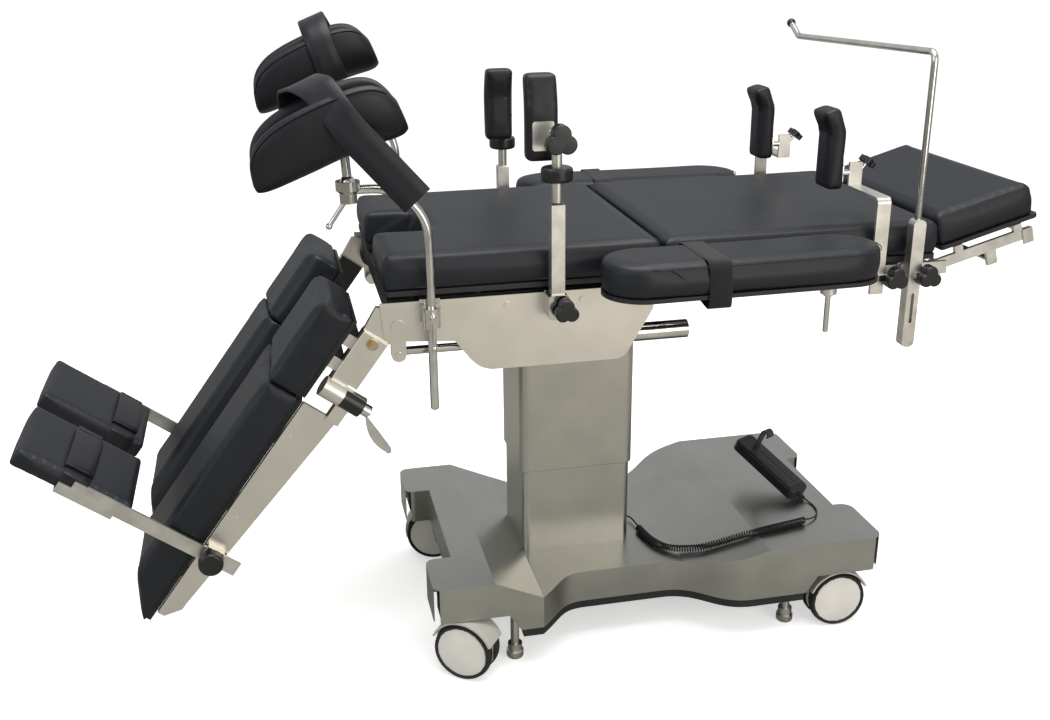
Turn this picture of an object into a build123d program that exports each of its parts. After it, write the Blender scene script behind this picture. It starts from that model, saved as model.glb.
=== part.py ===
from build123d import *
import os
from math import cos, pi, radians, sin, sqrt, tan

# An operating table: a wheeled base with a lifting column, a head that pitches and rolls, and a top
# of seat, back, head and two leg sections with foam pads and clamped-on supports. Millimetres, +Z up,
# +X towards the head end, -Y is the near side. Each near piece is drawn, and most far ones mirror it.

# Driving sizes of the whole
base_left = 325.0
base_right = 650.0
base_half_width = 288.0
base_top = 213.0
deck_top = 168.0
skirt_bottom = 98.0
column_centre = 19.0
top_half_width = 275.0
board_bottom = 822.0
board_thickness = 10.0
pad_thickness = 65.0
leg_rest_angle = 53.0

# Clearances
air = 0.3
running_fit = 0.05
overrun = 5.0

# Base cover, a folded sheet
sheet = 2.0
left_notch_depth = 55.0
left_notch_half = 160.0
right_notch_depth = 39.0
right_notch_half = 126.0
waist_half = 208.0
waist_start = 10.0
waist_end = 180.0
left_lobe_end = 100.0
right_lobe_start = 360.0
slope_top = 200.0
rise_foot = 225.0
rise_top = 390.0
left_corner_radius = 42.0
right_corner_radius = 26.0
arch_height = 37.0
arch_left_start = 147.0
arch_right_start = 480.0
arch_slope = 24.0

# Chassis under the cover
rail_offset = 120.0
beam_left = 266.0
beam_right = 596.0
block_half = 30.0
foot_boss_height = 28.0
rail_width = 60.0
rail_bottom = 112.0
rail_height = deck_top - sheet - rail_bottom
beam_width = 40.0
beam_height = 48.0
plinth_height = 18.0
plinth_inset = sheet + air
plinth_width = 22.0
guide_length = 160.0
guide_width = 130.0
guide_wall = 6.0
guide_top = 490.0
slide_fit = 0.3
floor_plate = 6.0

# Casters
caster_left = 280.0
caster_right = 590.0
caster_offset = 250.0
wheel_radius = 62.5
wheel_width = 24.0
wheel_gap = 12.0
tyre_thickness = 9.0
caster_trail = 28.0
caster_lift = 0.6
stem_radius = 11.0
stem_foot_radius = 16.5
stem_length = 36.0
axle_radius = 6.0
web_reach = 18.0
web_thickness = 10.0
hood_thickness = 4.0
hood_clearance = 3.0
hood_from = 22.0
near_left_turn = -35.0
near_right_turn = 180.0
far_left_turn = -12.0
far_right_turn = 150.0

# Floor feet
foot_left = 150.0
foot_right = 460.0
foot_offset = 232.0
foot_radius = 18.0
foot_nose = 7.0
foot_height = 34.0
foot_screw_radius = 9.0
foot_step = 3.0
foot_boss_radius = 16.0

# Column covers
lower_half_length = 119.0
lower_half_depth = 93.0
cover_step = 5.0
cover_corner_radius = 14.0
lower_cover_top = 492.0
upper_cover_bottom = 358.0
upper_cover_top = 655.0

# Lift mast and tilting head
mast_wall = 8.0
mast_bottom = 262.0
saddle_plate = 12.0
saddle_length = 110.0
saddle_width = 120.0
ear_inside = 42.0
ear_thickness = 12.0
ear_radius = 28.0
pitch_drop = 125.0
pitch_height = board_bottom - pitch_drop
tilt_pin_radius = 12.0
pin_head = 4.0
roll_drop = 74.0
roll_height = board_bottom - roll_drop
roll_boss_radius = 24.0
roll_boss_length = 150.0
roll_shaft_length = 214.0

# Seat section
seat_left = 393.0
seat_right = 136.0
seat_board_right = 108.0
seat_rail_right = 106.0
lug_thickness = 20.0
hinge_block = 26.7
hinge_block_radius = 22.0
back_ear = 12.0
spacer_shares = (0.096, 0.346, 0.591, 0.91)
plate_screw_shares = (0.449, 0.724, 0.937)
plate_screw_drop = 29.0
plate_screw_height = board_bottom - plate_screw_drop
plate_left = 401.0
plate_right = 125.0
plate_bottom = 668.0
plate_shares = (
    (0.0, 1.0),
    (0.013, 0.493),
    (0.259, 0.43),
    (0.314, 0.16),
    (0.357, 0.0),
    (0.88, 0.0),
    (0.987, 0.66),
    (1.0, 1.0),
)
plate_hinge_fillet = 15.0
plate_front_fillet = 55.0
plate_rear_fillet = 27.5
lug_spread = 20.0
frame_rail_set_in = 43.0
frame_rail_inside = top_half_width - frame_rail_set_in
frame_rail_width = 24.0
frame_drop = 10.0
frame_rail_top = board_bottom - frame_drop
frame_rail_height = 40.0
cross_width = 24.0
spacer_radius = 9.0
side_plate = 3.0
hinge_left = 369.0
hinge_drop = 57.0
hinge_height = board_bottom - hinge_drop
hinge_pin_radius = 10.0
hinge_head_radius = 13.5
lug_drop = 55.0
lug_radius = 14.0
lug_pin_radius = 6.0
leg_arm_set_in = 16.0
arm_inside = top_half_width - leg_arm_set_in
arm_thickness = 12.7
rod_set_in = 25.0
rod_offset = top_half_width - rod_set_in
rod_radius = 8.0
cylinder_radius = 18.0
cylinder_right = 196.0
cylinder_left = 200.0
cylinder_bore = 150.0
cylinder_hanger = 60.0
rod_height = hinge_height - lug_drop
cutout_half = 80.0
cutout_depth = 120.0
pad_crown = 9.0
pad_tuck = 3.0
pad_shoulder = 14.0
pad_corner = 8.0
pad_swell_share = 0.45
pad_gap = 2.5
layer_shares = ((0.0, 0.4), (0.44, 0.0), (0.866, 0.18), (1.0, 1.0))
board_inset = 3.0

# Back section
back_hinge = 140.0
back_hinge_drop = 22.0
back_hinge_height = board_bottom - back_hinge_drop
back_ear_radius = 19.0
back_pin_radius = 8.0
back_board_left = 190.0
back_pad_right = 709.0
back_arm_set_in = 30.7
back_arm_inside = top_half_width - back_arm_set_in
back_arm = 13.7
back_cross_left = 186.0
back_cross_shares = (0.0, 0.5, 1.0)
rail_stud_shares = (0.05, 0.35, 0.65, 0.95)
back_frame_right = 702.0
back_member_left = 166.0
back_member_drop = 10.0
back_member_top = board_bottom - back_member_drop
back_member_height = 37.0
side_rail_height = 25.0
side_rail_thickness = 10.0
side_rail_drop = 6.0
side_rail_top = board_bottom - side_rail_drop
side_rail_left = 196.0
side_rail_right = 732.0

# Head section
head_hinge = 722.0
head_hinge_drop = 25.0
head_hinge_height = board_bottom - head_hinge_drop
head_tilt = 15.5
head_length = 235.0
head_set_in = 30.0
head_half_width = top_half_width - head_set_in
head_pin_radius = 7.0
head_bar_height = 22.0
head_bar_thickness = 8.0
head_arm_set_in = 39.0
head_arm_inside = top_half_width - head_arm_set_in
head_ear_set_in = 30.7
head_ear_inside = top_half_width - head_ear_set_in
head_ear_radius = 15.0
head_bar_length = 222.0
head_board_bottom = 25.0
head_pad_start = 20.0
head_pad_thickness = 67.0
head_pad_tuck = 16.0
head_spacer_near = 60.0
head_post_along = 128.0
head_post_width = 22.0
head_post_drop = 40.0

# Leg sections, in the leg's own directions: along it from the hinge, and up out of it
leg_box_start = 37.0
leg_box_end = 140.0
leg_box_low = -3.0
leg_box_high = 49.0
leg_pad_base = 72.0
leg_pad_thickness = 70.0
leg_pad_set_in = 3.0
leg_pad_outer = top_half_width - leg_pad_set_in
leg_pad_inner = 85.0
leg_bevel = 15.0
thigh_pad_start = 32.0
leg_seam = 211.0
leg_seam_slant = 15.0
leg_seam_gap = 2.0
calf_pad_end = 745.0
calf_pad_bevel = 85.0
calf_plate_start = 213.0
calf_plate_end = 715.0
calf_plate_width = 12.0
barrel_along = 163.0
barrel_set_out = 9.0
barrel_offset = top_half_width + barrel_set_out
barrel_radius = 20.0
barrel_high = 57.0
barrel_split = 15.0
barrel_low = -30.0
release_along = 51.0
release_high = 22.0
release_radius = 11.0
hub_radius = 26.0
leg_box_set_out = 5.0
leg_box_outside = top_half_width + leg_box_set_out
leg_board = 8.0
leg_board_inset = 10.0
thigh_bearer_shares = (0.34, 0.825)
calf_bearer_shares = (0.173, 0.492, 0.811)
calf_screw_shares = ((0.145, 0.771), (0.52, 0.701), (0.924, 0.806))
calf_screw_radius = 4.5
calf_plate_corner = 1.0
screw_proud = 1.0
calf_tip = 14.0
calf_taper = 44.0
barrel_pin = 9.0
barrel_low_length = 28.0
lever_pin = 6.0
lever_hub = 12.0
lever_hub_length = 15.0
lever_run = 44.0
lever_fall = 91.0
lever_shares = (
    (0.0, 0.0),
    (0.364, 0.473),
    (0.773, 0.956),
    (0.932, 1.0),
    (1.0, 0.901),
    (0.727, 0.407),
    (0.091, 0.121),
)
rod_end = 100.0

# Clamps on the side rails and side plates
clamp_depth = 16.0
clamp_width = 38.0
clamp_lip = 4.5
knob_radius = 23.0
knob_length = 22.0
knob_neck = 6.0
clamp_drop = 42.0
knob_shift = 10.0
knob_core_share = 0.62
lobe_place_share = 0.42
lobe_radius_share = 0.58
lobes = 3

# Arm boards
armboard_left = 12.0
armboard_right = 528.0
armboard_width = 148.0
armboard_set_out = 6.0
armboard_inside = top_half_width + armboard_set_out
armboard_top = 893.0
armboard_pad = 60.0
armboard_plate = 8.0
armboard_pivot = 463.0
armboard_post_set_out = 31.0
armboard_post_offset = top_half_width + armboard_post_set_out
armboard_post_radius = 9.0
strap_width = 44.0
strap_at = 182.0
strap_out = 2.3
strap_corner = 5.0
armboard_hub = 14.0
armboard_yaw = 1.3
arm_boss_bottom = 778.0
arm_boss_top = 806.0
peg_length = 74.0
armboard_tuck = 18.0
armboard_plate_inset = 2.0

# Knee crutches
crutch_x = 310.0
crutch_set_out = 25.0
crutch_offset = top_half_width + crutch_set_out
crutch_rod_radius = 8.0
crutch_rod_bottom = 608.0
crutch_rod_level = 1028.0
crutch_bend = 98.0
crutch_reach = 136.0
cup_radius = 21.0
far_crutch_x = 296.0
far_crutch_rise = 45.0
crutch_boss_radius = 16.8
wing_drop = 55.0
cup_neck = 15.0
cup_drop = 22.0
cup_height = 16.0
ball_radius = 13.0
ball_height = 14.0
lever_slope = 54.4
crutch_lever = 62.0
cradle_tilt = 23.0
cradle_back = 21.0
cradle_rise = 107.0
cradle_depth = 60.0
cradle_mid = 66.0
cradle_trim = 1.0
cradle_heel = 12.0
cradle_strap = 66.0
cradle_strap_out = 5.3
cradle_length = 262.0
cradle_half_width = 74.0
cradle_wall = 26.0

# Lateral supports
lateral_x = 77.0
lateral_set_out = 25.0
lateral_offset = top_half_width + lateral_set_out
lateral_bar = 25.0
lateral_bar_top = 986.0
lateral_rod_radius = 9.5
lateral_collar_radius = 29.0
lateral_collar_height = 26.0
lateral_pad_width = 58.0
lateral_pad_thickness = 38.0
lateral_pad_height = 154.0
far_lateral_x = 55.0
far_lateral_drop = 45.0
lateral_bar_bottom = 768.0
lateral_rod_length = 114.0
lateral_head = 26.0
lateral_shift = 18.0
lateral_pad_below = 47.0
lateral_pad_set_in = 5.0
lateral_pad_outside = top_half_width - lateral_pad_set_in
lateral_plate = 40.0
lateral_lean = 12.0
lateral_bend_share = 0.62

# Shoulder supports
shoulder_x = 570.0
shoulder_offset = 170.0
shoulder_bar_width = 28.0
shoulder_bar_thickness = 6.0
shoulder_bar_top = 957.0
shoulder_pad_width = 65.0
shoulder_pad_thickness = 35.0
shoulder_pad_height = 162.0
shoulder_bar_bottom = 765.0
shoulder_upright = 52.0
shoulder_stub = 26.0
shoulder_pad_back = 39.0
shoulder_lean = 18.0
shoulder_bend_share = 0.7
shoulder_plate = 39.0

# Anaesthesia screen
screen_x = 640.0
screen_post_bottom = 655.0
screen_post_top = 913.0
screen_rod_radius = 6.5
screen_level = 1220.0
screen_span = 585.0
screen_bend = 16.0
screen_tip_rise = 26.0
screen_ball_radius = 10.0
screen_bar_width = 26.0
screen_socket = 32.0
screen_tip_run = 45.0

# Foot plates
foot_plate_thickness = 36.0
foot_plate_width = 213.0
foot_plate_height = 226.0
near_foot_along = 560.0
far_foot_along = 590.0
near_foot_low = 214.0
far_foot_low = 206.0
foot_arm_set_out = 8.0
foot_arm_inside = top_half_width + foot_arm_set_out
foot_arm_width = 28.0
foot_arm_thickness = 6.0
foot_arm_low = -12.0
foot_clamp_low = 26.0
foot_clamp_high = 60.0
foot_clamp_depth = 17.0
foot_block_edge = 5.0
foot_strap_corner = 4.0
foot_strap_share = 0.5
sleeve_width = 61.6
sleeve_thickness = 12.0
sleeve_share = 0.6

# Hand control and its curly cord
handset_length = 190.0
handset_width = 58.0
handset_thickness = 26.0
cord_radius = 1.8
curl_radius = 6.0
curl_count = 76
handset_x = 550.0
handset_y = -80.0
handset_turn = 118.7
handset_slope = 23.6
handset_corner = 12.0
handset_edge = 4.0
keypad_middle_share = 0.44
keypad_width_share = 0.8
keypad_height_share = 0.7
key_rise = 0.8
key_size = 14.0
key_pitch = 19.0
key_rows = 6
hook_along = 148.0
hook_turn = 9.0
hook_sweep = 200.0
hook_thickness = 3.0
hook_width = 22.0
gland_radius = 5.0
gland_length = 14.0
gland_taper = 5.0
cord_gland_length = 4.0
gland_y = 4.0
gland_height = 8.0
lead_route = (
    (561.0, -100.0, 215.3),
    (565.0, -119.0, 215.3),
    (562.0, -149.0, 215.4),
    (545.0, -178.0, 217.0),
    (517.5, -192.3, 221.3),
)
curl_route = (
    (509.0, -194.0, 221.6),
    (467.0, -203.0, 221.6),
    (422.0, -211.0, 221.8),
    (378.0, -217.0, 219.0),
    (341.0, -212.0, 209.2),
    (305.0, -208.0, 199.2),
    (266.0, -202.0, 188.6),
    (236.0, -184.0, 180.6),
    (206.0, -167.0, 176.8),
    (188.0, -140.0, 176.4),
    (176.0, -100.0, 176.4),
    (172.0, -61.0, 176.4),
)
tail_route = (
    (172.0, -51.0, 176.3),
    (172.0, -26.0, 176.2),
    (165.0, 4.0, 176.0),
)

bend_share = 0.45

near = -1
far = 1
pieces = {}


def keep(name, *solids):
    """Hold a finished piece, of one solid or of several that touch, until the whole is written."""
    pieces[name] = Compound([body for solid in solids for body in solid.part.solids()])


def mirrored(near_piece):
    """The far twin of a near piece."""
    with BuildPart() as twin:
        mirror(near_piece.part, about=Plane.XZ)
    return twin


def keep_pair(name, *near_solids):
    """Hold a near piece and its far twin."""
    keep(f"near_{name}", *near_solids)
    keep(f"far_{name}", *[mirrored(solid) for solid in near_solids])


def side_view(y):
    """A sketch plane seen from the near side: X right, Z up, facing -Y."""
    return Plane(origin=(0, y, 0), x_dir=(1, 0, 0), z_dir=(0, -1, 0))


def leg_view(y):
    """A sketch plane at the leg hinge: along the leg, and up out of it, facing +Y."""
    a = radians(leg_rest_angle)
    return Plane(origin=(-hinge_left, y, hinge_height), x_dir=(-cos(a), 0, -sin(a)), z_dir=(0, 1, 0))


def leg_point(along, y, up):
    """A point in leg directions, as a point of the whole."""
    a = radians(leg_rest_angle)
    x = -hinge_left - along * cos(a) - up * sin(a)
    return (x, y, hinge_height - along * sin(a) + up * cos(a))


def leg_up(along, y, up):
    """A plane across the leg's upward direction, its X along the leg."""
    a = radians(leg_rest_angle)
    return Plane(origin=leg_point(along, y, up), x_dir=(-cos(a), 0, -sin(a)), z_dir=(-sin(a), 0, cos(a)))


# Base cover


def base_outline(inset):
    """Half of the base's plan, drawn in by inset, mirrored and filled."""
    left = -base_left + inset
    right = base_right - inset
    side = base_half_width - inset
    waist = waist_half - inset
    left_notch = -base_left + left_notch_depth + inset
    right_notch = base_right - right_notch_depth - inset
    ease_left = (left_lobe_end + waist_start) / 2
    ease_right = (right_lobe_start - waist_end) / 2
    with BuildLine() as outline:
        Polyline(
            (left_notch, 0),
            (left_notch, left_notch_half + inset),
            (left, left_notch_half + inset),
            (left, side),
            (-left_lobe_end, side),
        )
        Bezier(
            (-left_lobe_end, side),
            (-left_lobe_end + ease_left, side - ease_left),
            (waist_start - ease_left, waist),
            (waist_start, waist),
        )
        Line((waist_start, waist), (waist_end, waist))
        Bezier(
            (waist_end, waist),
            (waist_end + ease_right, waist),
            (right_lobe_start - ease_right, side),
            (right_lobe_start, side),
        )
        Polyline(
            (right_lobe_start, side),
            (right, side),
            (right, right_notch_half + inset),
            (right_notch, right_notch_half + inset),
            (right_notch, 0),
        )
        mirror(about=Plane.XZ)
    return outline.edges()


def deck_profile(drop):
    """What the lowered deck takes away, seen from the side, let down by drop."""
    high = base_top + overrun
    with BuildLine() as outline:
        Polyline(
            (-slope_top, high),
            (-slope_top, base_top - drop),
            (-left_lobe_end, deck_top - drop),
            (rise_foot, deck_top - drop),
            (rise_top, base_top - drop),
            (rise_top, high),
            close=True,
        )
    return outline.edges()


def arch_profile(side, start):
    """The raised skirt over a pair of casters, out past the end of the base."""
    end = base_left if side < 0 else base_right
    with BuildLine() as outline:
        Polyline(
            (side * (end + overrun), skirt_bottom - overrun),
            (side * (end + overrun), skirt_bottom + arch_height),
            (side * (start + arch_slope), skirt_bottom + arch_height),
            (side * start, skirt_bottom),
            (side * start, skirt_bottom - overrun),
            close=True,
        )
    return outline.edges()


base_height = base_top - skirt_bottom

with BuildPart() as base_hollow:
    with BuildSketch(Plane.XY.offset(skirt_bottom - overrun)):
        make_face(base_outline(sheet))
    extrude(amount=base_height + overrun - sheet)
    with BuildSketch(side_view(base_half_width)):
        make_face(deck_profile(sheet))
    extrude(amount=2 * base_half_width, mode=Mode.SUBTRACT)

with BuildPart() as base_cover:
    with BuildSketch(Plane.XY.offset(skirt_bottom)) as plan:
        make_face(base_outline(0))
        fillet(plan.vertices().group_by(Axis.X)[0], left_corner_radius / 2)
        fillet(plan.vertices().group_by(Axis.X)[-1], right_corner_radius)
    extrude(amount=base_height)
    with BuildSketch(side_view(base_half_width)):
        make_face(deck_profile(0))
    extrude(amount=2 * base_half_width, mode=Mode.SUBTRACT)
    add(base_hollow.part, mode=Mode.SUBTRACT)
    for side, start in ((-1, arch_left_start), (1, arch_right_start)):
        with BuildSketch(side_view(base_half_width + overrun)):
            make_face(arch_profile(side, start))
        extrude(amount=2 * (base_half_width + overrun), mode=Mode.SUBTRACT)
    with BuildSketch(Plane.XY.offset(deck_top + overrun)):
        with Locations((column_centre, 0)):
            Rectangle(guide_length + 2 * sheet, guide_width + 2 * sheet)
    extrude(amount=-3 * overrun, mode=Mode.SUBTRACT)

# The cover is welded from three lengths, with the seams over the upper ends of the arches
cover_seams = (-base_left, -arch_left_start - arch_slope, arch_right_start + arch_slope, base_right)
cover_lengths = []
for seam_left, seam_right in zip(cover_seams, cover_seams[1:]):
    with BuildPart() as cover_length:
        add(base_cover.part)
        with BuildSketch(Plane.XY.offset(skirt_bottom)):
            with Locations(((seam_left + seam_right) / 2, 0)):
                Rectangle(seam_right - seam_left, 2 * base_half_width)
        extrude(amount=base_height, mode=Mode.INTERSECT)
    cover_lengths.append(cover_length)
keep("base_cover", *cover_lengths)


# Chassis: rails, beams and blocks over the casters, foot bars, floor plate and the lift guide


def chassis_bar(x, y, length, width, low, height):
    """A flat bar or plate of the chassis, centred on x and y."""
    with BuildPart() as bar:
        with BuildSketch(Plane.XY.offset(low)):
            with Locations((x, y)):
                Rectangle(length, width)
        extrude(amount=height)
    return bar


block_bottom = skirt_bottom + arch_height
rail_edge = rail_offset - rail_width / 2
guide_height = guide_top - rail_bottom
guide_side = (guide_width - guide_wall) / 2
guide_end = (guide_length - guide_wall) / 2
rail_plan = ((beam_right - beam_left) / 2, beam_left + beam_right)
near_rail, far_rail = [
    chassis_bar(rail_plan[0], side * rail_offset, rail_plan[1], rail_width, rail_bottom, rail_height)
    for side in (near, far)
]
floor_sheet = chassis_bar(
    column_centre, 0, 2 * guide_length, 2 * rail_edge + 2 * rail_width, rail_bottom - floor_plate, floor_plate
)
guide_sides = [
    chassis_bar(column_centre, side * guide_side, guide_length, guide_wall, rail_bottom, guide_height)
    for side in (near, far)
]
guide_ends = [
    chassis_bar(
        column_centre + side * guide_end, 0, guide_wall, guide_width - 2 * guide_wall, rail_bottom, guide_height
    )
    for side in (-1, 1)
]
foot_middles = [
    chassis_bar(foot_x, 0, foot_boss_radius, 2 * rail_edge, rail_bottom, foot_boss_height)
    for foot_x in (-foot_left, foot_right)
]

beams = []
beam_places = ((-beam_left + beam_width / 2, -caster_left), (beam_right - beam_width / 2, caster_right))
for beam_x, caster_x in beam_places:
    with BuildPart() as beam:
        with BuildSketch(Plane.XY.offset(block_bottom)):
            with Locations((beam_x, 0)):
                Rectangle(beam_width, 2 * (caster_offset + block_half))
            with Locations((caster_x, -caster_offset), (caster_x, caster_offset)):
                Rectangle(2 * block_half, 2 * block_half)
        extrude(amount=beam_height)
        add(near_rail.part, mode=Mode.SUBTRACT)
        add(far_rail.part, mode=Mode.SUBTRACT)
        with BuildSketch(Plane.XY.offset(block_bottom - overrun)):
            with Locations((caster_x, -caster_offset), (caster_x, caster_offset)):
                Circle(stem_radius + running_fit)
        extrude(amount=stem_length + overrun + air, mode=Mode.SUBTRACT)
    beams.append(beam)

foot_bars = []
for foot_x in (-foot_left, foot_right):
    with BuildPart() as foot_bar:
        with BuildSketch(Plane.XY.offset(rail_bottom)):
            with Locations((foot_x, -rail_edge - rail_width)):
                Rectangle(
                    foot_boss_radius, foot_offset - rail_edge - rail_width, align=(Align.CENTER, Align.MAX)
                )
            with Locations((foot_x, -foot_offset)):
                Circle(foot_boss_radius)
                Circle(foot_screw_radius + running_fit, mode=Mode.SUBTRACT)
        extrude(amount=foot_boss_height)
    foot_bars += [foot_bar, mirrored(foot_bar)]

# The black plinth under the skirt, one strip on each side between the casters
with BuildPart() as plinth:
    with BuildSketch(Plane.XY.offset(skirt_bottom - plinth_height)):
        make_face(base_outline(plinth_inset))
        make_face(base_outline(plinth_inset + plinth_width), mode=Mode.SUBTRACT)
        with Locations((-arch_left_start + overrun, 0)):
            Rectangle(base_left, 2 * base_half_width, align=(Align.MAX, Align.CENTER), mode=Mode.SUBTRACT)
        with Locations((arch_right_start - overrun, 0)):
            Rectangle(base_left, 2 * base_half_width, align=(Align.MIN, Align.CENTER), mode=Mode.SUBTRACT)
    extrude(amount=plinth_height + 2 * overrun)
keep(
    "base_chassis",
    near_rail,
    far_rail,
    *beams,
    floor_sheet,
    *guide_sides,
    *guide_ends,
    *foot_middles,
    *foot_bars,
    plinth,
)

# Floor feet, with a stepped round nose and a screw up into the boss
with BuildPart() as floor_feet:
    for foot_x in (-foot_left, foot_right):
        for foot_y in (-foot_offset, foot_offset):
            with BuildSketch(Plane(origin=(foot_x, foot_y, 0), x_dir=(1, 0, 0), z_dir=(0, -1, 0))):
                with BuildLine():
                    Polyline(
                        (0, 0),
                        (foot_radius - foot_nose, 0),
                    )
                    RadiusArc((foot_radius - foot_nose, 0), (foot_radius, foot_nose), -foot_nose)
                    Polyline(
                        (foot_radius, foot_nose),
                        (foot_radius, foot_height / 2),
                        (foot_radius - foot_step, foot_height / 2 + foot_step),
                        (foot_radius - foot_step, foot_height),
                        (foot_screw_radius, foot_height),
                        (foot_screw_radius, rail_bottom + foot_boss_height - overrun),
                        (0, rail_bottom + foot_boss_height - overrun),
                        (0, 0),
                    )
                make_face()
            revolve(axis=Axis((foot_x, foot_y, 0), (0, 0, 1)))
keep("floor_feet", floor_feet)


# Casters: a hooded body on a stem, and twin wheels on an axle


def caster(name, stem_x, stem_y, turn):
    """One caster, its wheels trailing from the stem in the direction turn."""
    a = radians(turn)
    trail = Vector(cos(a), sin(a), 0)
    axle = Vector(-sin(a), cos(a), 0)
    middle = Vector(stem_x, stem_y, wheel_radius + caster_lift) + trail * caster_trail
    side_plane = Plane(origin=middle, x_dir=trail, z_dir=trail.cross(Vector(0, 0, 1)))
    across_plane = Plane(origin=middle, x_dir=axle, z_dir=axle.cross(Vector(0, 0, 1)))
    hood_inside = wheel_radius + hood_clearance
    hood_outside = hood_inside + hood_thickness
    hood_half = wheel_gap / 2 + wheel_width
    hood_level = hood_outside * sin(radians(hood_from))
    reach = 3 * hood_outside
    with BuildPart() as body:
        with BuildSketch(side_plane):
            Circle(hood_outside)
            Circle(hood_inside, mode=Mode.SUBTRACT)
            with Locations((0, hood_level)):
                Rectangle(reach, reach, align=(Align.CENTER, Align.MAX), mode=Mode.SUBTRACT)
        extrude(amount=hood_half, both=True)
        with BuildSketch(Plane.XY.offset(middle.Z + hood_inside - hood_thickness)):
            with Locations((stem_x, stem_y)):
                Circle(stem_foot_radius)
        extrude(amount=block_bottom - air - middle.Z - hood_inside + hood_thickness)
        with BuildSketch(side_plane):
            Circle(hood_inside)
        extrude(amount=hood_half + overrun, both=True, mode=Mode.SUBTRACT)
        with BuildSketch(side_plane):
            Circle(hood_inside + hood_thickness / 2)
            with Locations((0, -web_reach)):
                Rectangle(reach, reach, align=(Align.CENTER, Align.MAX), mode=Mode.SUBTRACT)
            with Locations((web_reach, -web_reach)):
                Rectangle(reach, web_reach + hood_level, align=(Align.MIN, Align.MIN), mode=Mode.SUBTRACT)
        extrude(amount=web_thickness / 2, both=True)
        with BuildSketch(Plane.XY.offset(block_bottom - air - stem_radius / 2)):
            with Locations((stem_x, stem_y)):
                Circle(stem_radius)
        extrude(amount=stem_length + stem_radius / 2)
        with BuildSketch(side_plane):
            Circle(axle_radius + running_fit)
        extrude(amount=hood_half + overrun, both=True, mode=Mode.SUBTRACT)
    keep(f"{name}_caster_body", body)
    half_gap = wheel_gap / 2
    rim = wheel_radius - tyre_thickness
    outer = half_gap + wheel_width
    shoulder = wheel_radius - hood_clearance
    wheels = []
    for side in (-1, 1):
        with BuildPart() as wheel:
            with BuildSketch(across_plane):
                with BuildLine():
                    Polyline((side * half_gap, 0), (side * half_gap, shoulder))
                    ThreePointArc(
                        (side * half_gap, shoulder),
                        (side * (half_gap + outer) / 2, wheel_radius),
                        (side * outer, shoulder),
                    )
                    Polyline(
                        (side * outer, shoulder),
                        (side * outer, rim + hood_clearance),
                        (side * (outer - hood_clearance), rim),
                    )
                    ThreePointArc(
                        (side * (outer - hood_clearance), rim),
                        (side * (outer - hood_clearance / 4), rim / 2),
                        (side * outer, axle_radius),
                    )
                    Polyline((side * outer, axle_radius), (side * outer, 0), (side * half_gap, 0))
                make_face()
            revolve(axis=Axis(middle, axle))
        wheels.append(wheel)
    with BuildPart() as wheel_axle:
        with BuildSketch(side_plane):
            Circle(axle_radius)
        extrude(amount=half_gap, both=True)
    keep(f"{name}_caster_wheels", *wheels, wheel_axle)


caster("near_left", -caster_left, -caster_offset, near_left_turn)
caster("near_right", caster_right, -caster_offset, near_right_turn)
caster("far_left", -caster_left, caster_offset, far_left_turn)
caster("far_right", caster_right, caster_offset, far_right_turn)


# Column covers: the lower one stands on the deck, the upper one hangs over it from the mast

upper_half_length = lower_half_length + cover_step
upper_half_depth = lower_half_depth + cover_step
with BuildPart() as column_lower_cover:
    with BuildSketch(Plane.XY.offset(deck_top)):
        with Locations((column_centre, 0)):
            RectangleRounded(2 * lower_half_length, 2 * lower_half_depth, cover_corner_radius)
            RectangleRounded(
                2 * (lower_half_length - sheet),
                2 * (lower_half_depth - sheet),
                cover_corner_radius - sheet,
                mode=Mode.SUBTRACT,
            )
    extrude(amount=lower_cover_top - deck_top)
keep("column_lower_cover", column_lower_cover)

with BuildPart() as column_upper_cover:
    with BuildSketch(Plane.XY.offset(upper_cover_bottom)):
        with Locations((column_centre, 0)):
            RectangleRounded(2 * upper_half_length, 2 * upper_half_depth, cover_corner_radius + cover_step)
    extrude(amount=upper_cover_top - upper_cover_bottom)
    chamfer(column_upper_cover.faces().sort_by(Axis.Z)[0].edges(), sheet * 0.6)
    chamfer(column_upper_cover.faces().sort_by(Axis.Z)[-1].edges(), sheet * 0.6)
    with BuildSketch(Plane.XY.offset(upper_cover_bottom)):
        with Locations((column_centre, 0)):
            RectangleRounded(
                2 * (upper_half_length - sheet),
                2 * (upper_half_depth - sheet),
                cover_corner_radius + cover_step - sheet,
            )
    extrude(amount=upper_cover_top - upper_cover_bottom - sheet, mode=Mode.SUBTRACT)
    with BuildSketch(Plane.XY.offset(upper_cover_top)):
        with Locations((column_centre, 0)):
            Rectangle(saddle_length + 2 * air, saddle_width + 2 * air)
    extrude(amount=-overrun, mode=Mode.SUBTRACT)
keep("column_upper_cover", column_upper_cover)

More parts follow.
